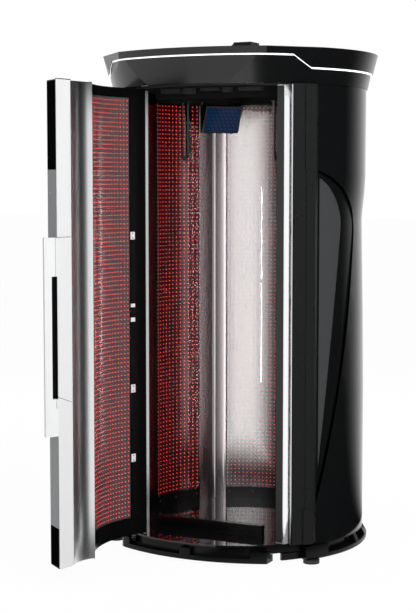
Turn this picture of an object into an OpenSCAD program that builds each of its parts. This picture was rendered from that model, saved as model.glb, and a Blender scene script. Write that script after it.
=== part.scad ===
/* [Cabin] */
// Overall height, floor to crown top
total_h = 2345; // [2250:5:2450]
// Radius of the LED wall's inner face
room_r = 450; // [440:1:455]
// Outer radius of the body shells
shell_r = 607; // [600:1:615]
// Thickness of the body shells
shell_t = 4; // [3:0.5:6]
// Depth of the shells' tuck at the waist
waist_in = 17; // [5:1:20]
// Height of the waist's narrowest line
waist_z = 1570; // [1500:10:1630]
// Bottom edge of the body shells
shell_z0 = 82; // [78:1:88]
// Distance from the axis to the slanted front facets
facet_d = 630; // [626:1:634]
// Height of the cabin floor's upper face
floor_z = 98; // [94:1:102]

/* [Base] */
// Outer radius of the base ring
ring_r = 625; // [620:1:630]
// Wall of the base ring
ring_t = 8; // [6:1:12]
// Ground clearance under the base ring
ring_z0 = 18; // [14:1:22]
// Height of the ring's lower rim
rim_h = 22; // [16:1:26]
// Thickness of the ring's upper ledge
ledge_h = 5; // [4:1:8]
// Number of gussets round the ring
rib_n = 13; // [7:2:15]
// Height of the base frame
frame_h = 40; // [30:1:44]
// Height of the front skirt's raised parts
skirt_h = 53; // [40:1:60]
// Radius of a levelling foot's pad
foot_r = 38; // [30:1:42]
// Radius of a levelling foot's stem
stem_r = 8; // [6:1:10]
// Height of the sill beam over the floor
sill_h = 47; // [30:1:60]
// Depth of the sill beam
sill_d = 36; // [25:1:45]
// Height of the kick plate under the LED wall
kick_h = 55; // [40:1:70]

/* [Light wall] */
// Thickness of the clear covers
cover_t = 4; // [3:0.5:5]
// Thickness of the LED boards
board_t = 3; // [2:0.5:4]
// Depth of the cooling fins behind the boards
fin_d = 16; // [8:1:24]
// Thickness of a cooling fin
fin_t = 2; // [1.5:0.5:3]
// Angle between the cooling fins
fin_step = 4; // [3:1:8]
// First angle of the side LED walls, from the front
side_a0 = 89; // [86:1:92]
// Last angle of the side LED walls
side_a1 = 128; // [126:1:130]
// First angle of the rear LED wall
rear_a0 = 146; // [144:1:148]
// Half angle of the door's LED wall
door_a = 30; // [28:1:31]
// Height of the black bands over the LED walls
header_h = 40; // [30:1:50]

/* [Door] */
// Hinge axis, distance left of the cabin's axis
hinge_x = 370; // [365:1:375]
// Hinge axis, distance in front of the cabin's axis
hinge_y = 455; // [450:1:460]
// Angle at which the door stands open
door_open = 82; // [60:1:88]
// Gap between the floor and the door
door_lift = 3; // [2:0.5:6]
// Gap between the door and the crown
door_drop = 11; // [6:0.5:14]
// Foremost reach of the door's skin
door_front = 615; // [610:1:620]
// Radius of the bowed front
bow_r = 880; // [860:5:900]
// Half width of the bowed skin, where the facets start
bow_half = 370; // [366:1:372]
// Thickness of the door's skin
skin_t = 4; // [3:0.5:6]
// Distance from the axis to the door's facet
door_facet_d = 640; // [638:1:644]
// Reach of the handle past the facet
handle_out = 63; // [50:1:70]
// Thickness of the handle
handle_t = 22; // [18:1:26]
// Lower end of the handle
handle_z0 = 676; // [650:1:690]
// Upper end of the handle
handle_z1 = 1516; // [1490:1:1530]
// Width of the finger slot
slot_w = 26; // [22:1:30]
// Lower end of the finger slot
slot_z0 = 835; // [820:5:850]
// Upper end of the finger slot
slot_z1 = 1353; // [1340:1:1370]
// Radius of a hinge knuckle
knuckle_r = 15; // [13:1:17]
// Radius of a hinge pin
pin_r = 6; // [5:0.5:7]
// Height of a hinge knuckle
knuckle_h = 40; // [30:1:44]

/* [Crown] */
// Height of the crown
crown_h = 160; // [155:1:170]
// Radius of the crown's top edge
crown_r = 660; // [650:1:665]
// Lean of the upper crown's wall
upper_lean = 25; // [15:1:30]
// Lean of the lower crown's wall
lower_lean = 15; // [8:1:18]
// Drop from the crown's top to the light line at the sides
step_drop = 95; // [85:1:105]
// Drop from the crown's top to the light line at the front
raised_drop = 39; // [33:1:50]
// Thickness of the accent light
accent_t = 7; // [5:1:9]
// Wall of the crown
crown_t = 5; // [4:0.5:8]
// Width of the roof's cable box
box_w = 106; // [90:1:120]
// Height of the roof's cable box
box_h = 75; // [60:1:85]
// Radius of the cable gland's bore
gland_r = 10; // [8:0.5:12]

/* [Fittings] */
// Radius of a grab handle's bar
grab_r = 8; // [7:0.5:10]
// Gap between the two legs of a grab handle
grab_w = 110; // [100:1:130]
// Height of the grab handles
grab_h = 266; // [240:1:290]
// Radius of a ceiling fan
fan_r = 70; // [60:1:76]
// Number of fan blades
blade_n = 7; // [5:1:9]
// Width of the control display
display_w = 184; // [170:1:190]
// Height of the control display
display_h = 160; // [150:1:165]
// Downward tilt of the control display
display_tilt = 35; // [20:1:45]

/* [Hidden] */
$fn = 96;

gap = 0.3;
web_in = 3;
edge_in = 0.3;
lip_in = 0.1;
lip_z = 1;
rim_lip = 42;
gland_wall = 6;
seat_w = 18;
ring_a = 66;
block_a = 54;
seat_a = 44;
rib_a = 3;
rib_first = 90;
window_in = 4;
eps = 0.02;
cut = 1;
far = 3000;
root2 = sqrt(2);
bow_y = bow_r - door_front;
crown_z0 = total_h - crown_h;
step_z = total_h - step_drop;
raised_z = total_h - raised_drop;
shell_z1 = crown_z0 - gap;
wall_z1 = crown_z0 - gap;
ceiling_t = 4;
ceiling_z0 = wall_z1 - ceiling_t;
ring_in = ring_r - rim_lip;
ring_z1 = shell_z0 - gap;
rim_z1 = ring_z0 + rim_h;
floor_t = 8;
floor_front = 592;
frame_z1 = floor_z - floor_t;
frame_z0 = frame_z1 - frame_h;
frame_top = 6;
frame_rim = 25;
frame_front = 560;
seat_z1 = frame_z0 - gap;
door_z0 = floor_z + door_lift;
door_z1 = crown_z0 - door_drop;
cover_r = room_r + cover_t;
board_r0 = cover_r + 2;
board_r1 = board_r0 + board_t;
fin_r1 = board_r1 + fin_d;
end_a = atan(gap / room_r);
led_z0 = floor_z + kick_h + gap;
led_z1 = ceiling_z0 - gap - header_h;
shell_a = 60;
wall_spans = [[rear_a0, 360 - rear_a0], [side_a0, side_a1], [360 - side_a1, 360 - side_a0]];
rear_a = 125;
jamb_s0 = 13;
jamb_s1 = 128;
hinge_zs = [466, 792, 1146, 1501];
foot_plan = [[515, -328], [-515, -328], [460, 385], [-460, 385]];
foot_pad_h = ring_z0 - gap;
stem_z1 = ring_z0 + rim_h / 2;
strip_z0 = 275;
strip_z1 = 1799;
plinth_z1 = 260;
fan_x = 130;
fan_z0 = ceiling_z0 - 46;
fan_y = 40;
grab_x = 240;
grab_y = -100;
duct_z0 = ceiling_z0 - 54;
grab_z = duct_z0 - grab_h;
display_a = 141.5;
display_z = ceiling_z0 - 190;
handle_s1 = -10;
facet_s0 = (bow_half - (sqrt(pow(bow_r, 2) - pow(bow_half, 2)) - bow_y)) / root2;

// Distance along the facet and outwards from the axis, turned into plan coordinates
function plan_pt(q) = [(q[1] + q[0]) / root2, (q[0] - q[1]) / root2];
// A convex outline drawn in by t on every side, its points taken clockwise or anticlockwise
function cross2(a, b) = a[0] * b[1] - a[1] * b[0];
function turn_sign(p) = sign(cross2(p[1] - p[0], p[2] - p[1]));
function side_n(a, b, k) = k * [a[1] - b[1], b[0] - a[0]] / norm(b - a);
function meet(p, u, q, v) = p + u * cross2(q - p, v) / cross2(u, v);
function inset(p, t) = let (n = len(p), k = turn_sign(p)) [for (i = [0:n - 1])
    let (a = p[(i + n - 1) % n], b = p[i], c = p[(i + 1) % n])
    meet(a + t * side_n(a, b, k), b - a, b + t * side_n(b, c, k), c - b)];
// Quadratic curve from a to c, pulled towards b
function bend(a, b, c, n = 8) = [for (i = [0:n]) let (t = i / n)
    (1 - t) * (1 - t) * a + 2 * t * (1 - t) * b + t * t * c];

// Wall between two radii and two angles, counted from the front
module arc_wall(r0, r1, a0, a1, z0, z1) {
    rotate([0, 0, a0 - 90]) rotate_extrude(angle = a1 - a0)
        translate([r0, z0]) square([r1 - r0, z1 - z0]);
}
// Revolved outline between two angles, counted from the front
module arc_profile(pts, a0, a1) {
    rotate([0, 0, a0 - 90]) rotate_extrude(angle = a1 - a0) polygon(pts);
}
// Vertical bar with its outline in facet coordinates
module facet_bar(pts, z0, z1) {
    translate([0, 0, z0]) linear_extrude(z1 - z0) polygon([for (q = pts) plan_pt(q)]);
}
module facet_rect(s0, s1, d0, d1, z0, z1) {
    facet_bar([[s0, d0], [s1, d0], [s1, d1], [s0, d1]], z0, z1);
}
module left_side() { mirror([1, 0, 0]) children(); }
// Places what is drawn closed at the angle at which the door stands
module door_pose() {
    translate([-hinge_x, -hinge_y, 0]) rotate([0, 0, -door_open])
        translate([hinge_x, hinge_y, 0]) children();
}
// Solid plan of the cabin, leaning outwards by lean from z0 to z1
module plan_body(r, d, front, lean, z0, z1) {
    h = z1 - z0;
    reach = r + lean + 100;
    intersection() {
        translate([0, 0, z0]) cylinder(h = h, r1 = r, r2 = r + lean);
        translate([0, bow_r - front, z0]) cylinder(h = h, r1 = bow_r, r2 = bow_r + lean / 3);
        facet_cut(d, lean / 3, z0, z1, reach);
        left_side() facet_cut(d, lean / 3, z0, z1, reach);
    }
}
module facet_cut(d, lean, z0, z1, reach) {
    rotate([0, 0, 45]) rotate([90, 0, 90]) translate([0, 0, -reach]) linear_extrude(2 * reach)
        polygon([[-d, z0 - cut], [-d - lean, z1 + cut], [2 * reach, z1 + cut], [2 * reach, z0 - cut]]);
}

// Radius of the body at the heights where its profile turns
body_line = [[shell_r - 3, shell_z0], [shell_r - 3, waist_z - 820], [shell_r - 8, waist_z - 450],
    [shell_r - waist_in + 1, waist_z - 70], [shell_r - waist_in, waist_z],
    [shell_r - waist_in + 3, waist_z + 40], [shell_r - 5, waist_z + 130],
    [shell_r - 1, waist_z + 200], [shell_r, shell_z1]];
function wall_outline(line, t) = concat(line, [for (i = [len(line) - 1:-1:0]) line[i] - [t, 0]]);
shell_profile = wall_outline(body_line, shell_t);

module shell_part(a0, a1) { arc_profile(shell_profile, a0, a1); }

// Outline of the side scoop, across and up, seen square to the shell
scoop_a = 70;
scoop_edge = -145;
panel_edge = -74;
scoop_outer = concat([[scoop_edge, 1808]], bend([-118, 1804], [38, 1760], [125, 1668]),
    bend([131, 1662], [212, 1590], [188, 1470]), bend([187, 1464], [95, 850], [-105, 262], 10),
    [[-114, 238], [scoop_edge, 232]]);
scoop_inner = concat([[panel_edge, 1764]], bend([-60, 1764], [20, 1730], [78, 1608]),
    bend([80, 1602], [92, 1560], [84, 1520]), [[-72, 380], [panel_edge, 366]]);
module scoop_prism(pts, r0, r1) {
    rotate([0, 0, scoop_a - 90]) rotate([90, 0, 90]) translate([0, 0, r0])
        linear_extrude(r1 - r0) polygon(pts);
}
panel_t = 14;
pocket = 9;

module side_shell() {
    difference() {
        shell_part(shell_a, rear_a - end_a);
        scoop_prism(scoop_outer, room_r, shell_r + 40);
    }
}
// Sunk panel of a scoop, with a raised band round its field
module scoop_panel() {
    scoop_r = shell_r - waist_in - shell_t - gap;
    difference() {
        intersection() {
            scoop_prism(scoop_outer, room_r, shell_r + 40);
            arc_wall(scoop_r - panel_t, scoop_r, shell_a + 0.4, rear_a - 12, shell_z0, shell_z1);
        }
        intersection() {
            scoop_prism(scoop_inner, room_r, shell_r + 40);
            arc_wall(scoop_r - pocket, scoop_r + 9, shell_a + 0.2, rear_a - 11, shell_z0, shell_z1);
        }
    }
}

module levelling_feet() {
    color("dimgray") for (p = foot_plan) translate([p[0], p[1], 0]) {
        cylinder(h = foot_pad_h, r = foot_r);
        cylinder(h = stem_z1, r = stem_r);
    }
    color("dimgray") {
        cylinder(h = foot_pad_h, r = foot_r);
        cylinder(h = seat_z1, r = 2 * stem_r);
    }
}
// Holes for the stems of the levelling feet
module stem_holes() {
    for (p = foot_plan) translate([p[0], p[1], 0]) cylinder(h = stem_z1 + 0.2, r = stem_r + 0.1);
}

// Plate with a rim, cross ribs and a centre boss, open below
module base_frame() {
    rib_w = 30;
    color("#2a2b2c") difference() {
        plan_body(ring_in - gap, facet_d - 60, frame_front, 0, frame_z0, frame_z1);
        difference() {
            plan_body(ring_in - frame_rim, facet_d - 60 - frame_rim, frame_front - frame_rim, 0,
                frame_z0 - cut, frame_z1 - frame_top);
            translate([-rib_w / 2, -far / 2, 0]) cube([rib_w, far, floor_z]);
            translate([-far / 2, -rib_w / 2, 0]) cube([far, rib_w, floor_z]);
            cylinder(h = floor_z, r = foot_r);
        }
    }
}
// Section of the ring: seat for the frame, rim, inner wall and the ledge under the shells
module base_ring() {
    ledge_r = shell_r - 4;
    ring_line = [[ring_in - seat_w, ring_z0], [ring_r - 4, ring_z0], [ring_r, ring_z0 + 5],
        [ring_r, rim_z1 - 3], [ring_r - 3, rim_z1], [ring_in + ring_t, rim_z1],
        [ring_in + ring_t, ring_z1 - ledge_h], [ledge_r, ring_z1 - ledge_h], [ledge_r, ring_z1],
        [ring_in, ring_z1], [ring_in, seat_z1], [ring_in - seat_w, seat_z1]];
    gusset = [[ring_in + 2, rim_z1 - 1], [ring_r - 4, rim_z1 - 1], [ledge_r - 2, ring_z1 - 1],
        [ring_in + 2, ring_z1 - 1]];
    step = 2 * (180 - rib_first) / (rib_n - 1);
    first = rib_first - rib_a / 2;
    windows = concat([[ring_a + window_in, first - window_in]], [for (i = [0:rib_n - 2])
        [first + i * step + rib_a + window_in, first + (i + 1) * step - window_in]],
        [[360 - first + window_in, 360 - ring_a - window_in]]);
    color("#1b1c1d") difference() {
        union() {
            arc_profile(ring_line, ring_a, 360 - ring_a);
            for (i = [0:rib_n - 1]) arc_profile(gusset, first + i * step, first + i * step + rib_a);
        }
        for (w = windows) arc_wall(ring_in - cut, ring_in + ring_t + cut, w[0], w[1],
            rim_z1 + 5, ring_z1 - ledge_h - 4);
        stem_holes();
    }
}

// Raised end of the ring beside the doorway, with a seat that runs on under the frame
module base_block() {
    end_line = [[ring_in - seat_w, ring_z0], [ring_r - 4, ring_z0], [ring_r, ring_z0 + 5],
        [ring_r, ring_z1 - 3], [ring_r - 3, ring_z1], [ring_in, ring_z1], [ring_in, seat_z1],
        [ring_in - seat_w, seat_z1]];
    difference() {
        arc_profile(end_line, seat_a, ring_a - 0.1);
        arc_wall(ring_in - 1, ring_r + cut, seat_a - 1, block_a, ring_z0 - cut, ring_z1 + cut);
        stem_holes();
    }
}
module right_base_block() { color("#1b1c1d") base_block(); }
module left_base_block() { color("#1b1c1d") left_side() base_block(); }

// Band under the doorway with two notches between its raised parts
skirt_x = [-388, 370];
notches = [[-335, -35], [20, 300]];
module front_skirt() {
    front = 589;
    seat = 525;
    z1 = ring_z0 + skirt_h;
    color("#1d1e1f") difference() {
        intersection() {
            plan_body(ring_r + 10, facet_d - 8, front, 0, ring_z0, z1);
            translate([skirt_x[0], -far, 0]) cube([skirt_x[1] - skirt_x[0], far - 400, far]);
        }
        plan_body(ring_r - 50, facet_d - 55, seat, 0, ring_z0 - cut, z1 + cut);
        plan_body(ring_r - 15, facet_d - 37, frame_front + gap, 0, seat_z1, z1 + cut);
        for (n = notches) intersection() {
            translate([n[0], -far, rim_z1]) cube([n[1] - n[0], far - 400, far]);
            difference() {
                translate([-far, -far, 0]) cube([2 * far, far, far]);
                plan_body(ring_r - 15, facet_d - 38, frame_front, 0, 0, far);
            }
        }
    }
}

module cabin_floor() {
    floor_r = body_line[0][0] - shell_t - gap;
    color("#0c0d0e") plan_body(floor_r, facet_d - 30, floor_front, 0, frame_z1, floor_z);
}

module sill_beam() {
    sill_w = 550;
    color("#141516") translate([-sill_w / 2 - 10, -330, floor_z]) difference() {
        cube([sill_w, sill_d, sill_h]);
        for (i = [0:8]) translate([20 + i * 58, -cut, 8]) cube([40, 8, 8]);
        for (i = [0:5]) translate([30 + i * 88, -cut, 24]) cube([52, 6, 6]);
    }
}

module kick_plate() {
    color("#303233") for (a = wall_spans) arc_wall(room_r, cover_r, a[0], a[1], floor_z, floor_z + kick_h);
}

module rear_shell() { color("#101112") shell_part(rear_a, 360 - rear_a); }
module right_shell() { color("#101112") side_shell(); }
module left_shell() { color("#101112") left_side() side_shell(); }
module right_scoop_panel() { color("#1c1d1f") scoop_panel(); }
module left_scoop_panel() { color("#1c1d1f") left_side() scoop_panel(); }

jamb_line = [[jamb_s0, facet_d], [jamb_s1, facet_d], [156, 588], [150, 560], [104, 478],
    [70, 478], [20, 540]];
// Place of the jamb's doorway face along the facet, at a distance d from the axis
function jamb_edge(d) = jamb_s0 + (jamb_line[6][0] - jamb_s0) * (facet_d - d) / (facet_d - jamb_line[6][1]);
module jamb() {
    difference() {
        facet_bar(jamb_line, floor_z + gap, wall_z1);
        facet_bar(inset(jamb_line, 4), floor_z - cut, wall_z1 + cut);
    }
}
module right_jamb() { color("#202224") jamb(); }
module left_jamb() { color("#202224") left_side() jamb(); }

module pilaster() {
    d0 = facet_d;
    facet_rect(77, 126, d0, d0 + 7, strip_z1, wall_z1 - 6);
    facet_bar([[82, d0], [119, d0], [117, d0 + 5], [84, d0 + 5]], plinth_z1 - eps, strip_z1 + eps);
    facet_bar([[72, d0], [124, d0], [122, d0 + 10], [74, d0 + 10]], floor_z + gap, plinth_z1);
}
module right_pilaster() { color("#242628") pilaster(); }
module left_pilaster() { color("#242628") left_side() pilaster(); }

// Concave cylinder cut through the points a and b, sag deep
module hollow_cut(a, b, sag, z0, z1) {
    half = norm(b - a) / 2;
    r = (half * half + sag * sag) / (2 * sag);
    n = [b[1] - a[1], a[0] - b[0]] / (2 * half);
    c = (a + b) / 2 + (r - sag) * n;
    translate([c[0], c[1], z0]) cylinder(h = z1 - z0, r = r);
}

module right_chrome_column() {
    q = [[-30, 562], [jamb_s0 - 0.5, facet_d - 2], [19.5, 539.8], [69.6, 477.6], [73, 452]];
    p = [for (k = q) plan_pt(k)];
    color("#d9dbdc") difference() {
        facet_bar(q, floor_z + gap, ceiling_z0 - gap);
        hollow_cut(p[0], p[1], 9, 0, far);
        hollow_cut(p[4], p[0], 16, 0, far);
    }
}
module left_silver_column() {
    color("#b9bbbd") left_side() {
        arc_wall(room_r + 1, room_r + 14, 53, 58, floor_z + gap, ceiling_z0 - gap);
        arc_wall(room_r + 8, room_r + 30, 54.5, 56.5, floor_z + gap, ceiling_z0 - gap);
    }
}
module inner_panel(a0) {
    arc_wall(room_r, room_r + 5, a0, side_a0 - 2 * end_a, floor_z, ceiling_z0);
    for (a = [a0 + 1, 70, side_a0 - 4])
        arc_wall(room_r + 2.5, room_r + 30, a, a + 1, floor_z + web_in, ceiling_z0 - web_in);
}
module right_inner_panel() { color("#0f1011") inner_panel(55); }
module left_inner_panel() { color("#0f1011") left_side() inner_panel(58.2); }

module led_wall(a0, a1, z0, z1) {
    arc_wall(board_r0, board_r1, a0, a1, z0, z1);
    for (a = [a0 + 2:fin_step:a1 - 1.5])
        rotate([0, 0, a - 90]) translate([board_r1 - board_t / 2, -fin_t / 2, z0 + 30])
            cube([fin_d + board_t / 2, fin_t, z1 - z0 - 60]);
    for (a = [a0 + edge_in, a1 - edge_in - 0.6])
        arc_wall(cover_r + gap, board_r0 + board_t / 2, a, a + 0.6, z0 + web_in, z1 - web_in);
}
module cover(a0, a1, z0, z1) { arc_wall(room_r, cover_r, a0, a1, z0, z1); }
module right_led_wall() { color("#3a1013") led_wall(side_a0, side_a1, led_z0, led_z1); }
module left_led_wall() { color("#3a1013") left_side() led_wall(side_a0, side_a1, led_z0, led_z1); }
module rear_led_wall() { color("#3a1013") led_wall(rear_a0, 360 - rear_a0, led_z0, led_z1); }
module right_cover() { color("#55585b") cover(side_a0, side_a1, led_z0, led_z1); }
module left_cover() { color("#55585b") left_side() cover(side_a0, side_a1, led_z0, led_z1); }
module rear_cover() { color("#55585b") cover(rear_a0, 360 - rear_a0, led_z0, led_z1); }

// Column of stacked extrusions between two LED walls, seated on floor and ceiling
module mid_column() {
    a0 = side_a1 + end_a;
    a1 = rear_a0 - end_a;
    z0 = floor_z;
    z1 = ceiling_z0;
    arc_wall(room_r + 1, room_r + 6, a0, a1, z0, z1);
    for (a = [a0 + edge_in, a0 + 5, a0 + 9.2, a1 - 1 - edge_in])
        arc_wall(room_r + 4, fin_r1 + 22, a, a + 1, z0 + web_in, z1 - web_in);
    arc_wall(fin_r1 + 20, fin_r1 + 25, a0, a1, z0, z1);
    for (a = [[a0 + lip_in, a0 + 1.2], [a0 + 9.4, a0 + 10], [a1 - 1.2, a1 - lip_in]])
        arc_wall(room_r - 3, room_r + 3, a[0], a[1], z0 + lip_z, z1 - lip_z);
}
module right_mid_column() { color("#a7a9ab") mid_column(); }
module left_mid_column() { color("#a7a9ab") left_side() mid_column(); }

// Drivers clamped to the cooling fins of the rear LED wall
module led_drivers() {
    color("#8f9294") for (k = [0.1, 0.42, 0.74]) for (a = [rear_a0 + 10, 180, 350 - rear_a0])
        rotate([0, 0, a - 90]) translate([fin_r1 + gap, -45, led_z0 + k * (led_z1 - led_z0)])
            cube([42, 90, 260]);
}
// Black bands over the LED walls, up to the ceiling
module wall_header() {
    color("#18191a") for (a = wall_spans) arc_wall(room_r, cover_r, a[0], a[1], led_z1 + gap, ceiling_z0);
}

module ceiling_plate() {
    color("#121314") difference() {
        plan_body(room_r + 110, facet_d - 152.5, 470, 0, ceiling_z0, wall_z1);
        for (k = [-1, 1]) translate([k * fan_x, fan_y, ceiling_z0 - cut])
            cylinder(h = ceiling_t + 2, r = fan_r + 3);
    }
}
module ceiling_ducts() {
    color("#18191a") {
        translate([-330, -250, duct_z0 + 14]) cube([660, 46, ceiling_z0 - duct_z0 - 14]);
        for (k = [-1, 1]) {
            translate([k * 240 - 62, grab_y - 62, duct_z0]) cube([124, 90, ceiling_z0 - duct_z0]);
            translate([k * 90 - 55, -200, duct_z0 + 20]) cube([110, 90, ceiling_z0 - duct_z0 - 20]);
        }
        translate([-60, 160, duct_z0 + 8]) cube([120, 180, ceiling_z0 - duct_z0 - 8]);
    }
}
module fan_housings() {
    side = 2 * fan_r + 14;
    color("#1c1d1e") for (k = [-1, 1]) translate([k * fan_x, fan_y, fan_z0]) {
        difference() {
            translate([-side / 2, -side / 2, 0]) cube([side, side, ceiling_z0 - fan_z0]);
            translate([0, 0, -cut]) cylinder(h = 100, r = fan_r + 2);
        }
        for (a = [0, 120, 240]) rotate([0, 0, a]) translate([0, -3, 0]) cube([fan_r + 3, 6, 4]);
        cylinder(h = 8, r = 22);
        cylinder(h = 34, r = 4);
    }
}
module fan_rotor() {
    color("#26282a") {
        difference() {
            union() {
                translate([0, 0, 9]) cylinder(h = 24, r = 21);
                for (i = [0:blade_n - 1]) rotate([0, 0, i * 360 / blade_n]) translate([17, 0, 21])
                    rotate([32, 0, 0]) translate([0, -15, -1.2]) cube([fan_r - 20, 30, 2.4]);
            }
            cylinder(h = 100, r = 4.05);
        }
    }
}
module left_fan_rotor() { translate([-fan_x, fan_y, fan_z0]) fan_rotor(); }
module right_fan_rotor() { translate([fan_x, fan_y, fan_z0]) fan_rotor(); }

// U-shaped bar hanging from the ceiling ducts
module grab_handle() {
    bow = 24;
    top = duct_z0;
    for (k = [-1, 1]) translate([0, k * grab_w / 4, grab_z + bow])
        cylinder(h = top - grab_z - bow, r = grab_r);
    for (k = [-1, 1]) translate([0, k * (grab_w / 4 - bow), grab_z + bow]) rotate([90, 0, 90])
        rotate([0, 0, k > 0 ? -90 : 180]) rotate_extrude(angle = 90) translate([bow, 0]) circle(r = grab_r);
    translate([0, -(grab_w / 4 - bow) - eps, grab_z]) rotate([-90, 0, 0])
        cylinder(h = grab_w / 2 - 2 * bow + 2 * eps, r = grab_r);
    for (k = [-1, 1]) translate([0, k * grab_w / 4, top - 6]) cylinder(h = 6, r = grab_r + 6);
}
module grab_handles() {
    color("#17181a") for (k = [-1, 1]) translate([k * grab_x, grab_y - 17, 0]) grab_handle();
}

module display_place() {
    rotate([0, 0, -display_a - 90]) translate([room_r - 75, 0, display_z + 70])
        rotate([0, 90 + 180 - display_tilt, 0]) children();
}
module display_housing() {
    color("#101214") display_place() translate([-display_h / 2, -display_w / 2, -22]) difference() {
        cube([display_h, display_w, 20]);
        translate([6, 6, 14]) cube([display_h - 12, display_w - 12, 10]);
    }
}
module display_glass() {
    color("#0d2340") display_place() translate([-display_h / 2 + 6 + gap, -display_w / 2 + 6 + gap, -8])
        cube([display_h - 12 - 2 * gap, display_w - 12 - 2 * gap, 5]);
}
module display_bracket() {
    color("#1c1e20") intersection() {
        rotate([0, 0, -display_a - 90]) translate([room_r - 75, -20, display_z + 40]) cube([76, 40, 60]);
        display_place() translate([-60, -30, -102]) cube([120, 60, 80 - gap]);
        translate([0, 0, display_z]) cylinder(h = 200, r = room_r + 0.7);
    }
}

// Crown walls: the lower part rises at the front, the upper part sits over the light line
function line_z(dz) = [[-far, step_z + dz], [-518, step_z + dz], [-462, raised_z + dz],
    [462, raised_z + dz], [518, step_z + dz], [far, step_z + dz]];
module front_under(dz) {
    rotate([90, 0, 0]) linear_extrude(2000)
        polygon(concat(line_z(dz), [[far, 0], [-far, 0]]));
}
module back_under(dz) { translate([-far, -eps, 0]) cube([2 * far, far, step_z + dz]); }
module under_line(dz) { front_under(dz); back_under(dz); }
lower_r = crown_r - upper_lean - 8 - lower_lean;
module lower_shape(grow) {
    plan_body(lower_r - grow, facet_d - 6 - grow, door_front - 13 - grow,
        lower_lean * (raised_z + 10 - crown_z0) / (step_z - crown_z0), crown_z0, raised_z + 10);
}
module lower_crown() {
    color("#1a1b1c") {
        difference() {
            intersection() {
                lower_shape(0);
                under_line(0);
            }
            translate([0, 0, crown_t]) lower_shape(crown_t);
            translate([0, 0, crown_z0 - cut]) cylinder(h = 20, r = room_r + 60);
        }
    }
}
module upper_shape(grow) {
    plan_body(crown_r - upper_lean - grow, facet_d + 4 - grow, door_front - 6 - grow, upper_lean,
        step_z, total_h);
}
module upper_crown() {
    color("#1a1b1c") difference() {
        upper_shape(0);
        under_line(accent_t);
        intersection() {
            translate([0, 0, -crown_t]) upper_shape(crown_t);
            translate([-2000, -2000, 0]) cube([4000, 4000, total_h - crown_t]);
        }
    }
}
module accent_light() {
    color("#f4f6f8") difference() {
        intersection() {
            plan_body(crown_r - upper_lean - 3, facet_d + 1, door_front - 9, 6, step_z - cut, total_h - 20);
            difference() {
                under_line(accent_t);
                under_line(0);
            }
        }
        plan_body(crown_r - upper_lean - 14, facet_d - 12, door_front - 22, 6, step_z - 2 * cut, total_h);
    }
}
module roof_box() {
    color("#161718") translate([0, 55, total_h]) difference() {
        rotate([90, 0, 0]) translate([0, 0, -50]) linear_extrude(100)
            polygon([[-box_w / 2, 0], [box_w / 2, 0], [box_w / 2, box_h], [-box_w / 2 + 16, box_h],
                [-box_w / 2 + 14, box_h - 6], [-box_w / 2, box_h - 18]]);
        translate([0, 0, box_h / 2]) rotate([-90, 0, 0]) cylinder(h = 60, r = gland_r);
        translate([-box_w / 2 + 18, -45, 4]) cube([box_w - 23, 95 - gland_wall, box_h - 22]);
    }
}

// Fixed knuckles above and below each door knuckle, on arms from the left jamb
module hinge_arm(z) {
    p = [-hinge_x, -hinge_y];
    a = plan_pt([jamb_edge(600) - gap, 600]);
    b = plan_pt([jamb_edge(566) - gap, 566]);
    translate([0, 0, z]) difference() {
        union() {
            linear_extrude(10) polygon([[-a[0], a[1]], [-b[0], b[1]], p + [9, 11], p + [-9, -11]]);
            translate(p) cylinder(h = 10, r = knuckle_r);
        }
        translate([p[0], p[1], -cut]) cylinder(h = 12, r = pin_r + 0.05);
    }
}
module hinge_brackets() {
    color("#e9eaeb") for (z = hinge_zs) for (k = [-knuckle_h / 2 - 10 - gap, knuckle_h / 2 + gap])
        hinge_arm(z + k);
}
module hinge_pins() {
    color("#c7c9cb") for (z = hinge_zs) translate([-hinge_x, -hinge_y, z - knuckle_h / 2 - 12]) {
        cylinder(h = knuckle_h + 24 + gap, r = pin_r);
        translate([0, 0, -4]) cylinder(h = 5.7, r = pin_r + 3);
    }
}

// Door, drawn closed
module bow_plate(r_out, t, x0, x1, z0, z1) {
    intersection() {
        translate([0, bow_y, z0]) difference() {
            cylinder(h = z1 - z0, r = r_out);
            translate([0, 0, -cut]) cylinder(h = z1 - z0 + 2, r = r_out - t);
        }
        translate([x0, -800, z0 - cut]) cube([x1 - x0, 500, z1 - z0 + 2]);
    }
}
door_s1 = -11;
column_in = [-109, 437];
end_in = [-49, door_facet_d - 81];
end_out = [door_s1, door_facet_d];
end_dir = (plan_pt(end_out) - plan_pt(end_in)) / norm(plan_pt(end_out) - plan_pt(end_in));
end_n = [end_dir[1], -end_dir[0]];
column_back = [plan_pt(column_in) + [2, -26], plan_pt(end_in) + [-6, -20]];
// Space at the free end that the column and the end profile take
module free_end(z0, z1) {
    translate([0, 0, z0]) linear_extrude(z1 - z0) polygon([column_back[0] + [-8, -1],
        column_back[1] + [0, -1], plan_pt(end_in) + end_dir * 6 + end_n * 8.6,
        plan_pt(end_out) + end_dir * 20 + end_n * 8.6, [700, -440], [700, 0],
        [column_back[0][0] - 8, 0]]);
}
module door_skin() {
    color("#141516") door_pose() bow_plate(bow_r, skin_t, -bow_half, bow_half - 4, door_z0 + 4, door_z1 - 4);
}
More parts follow.
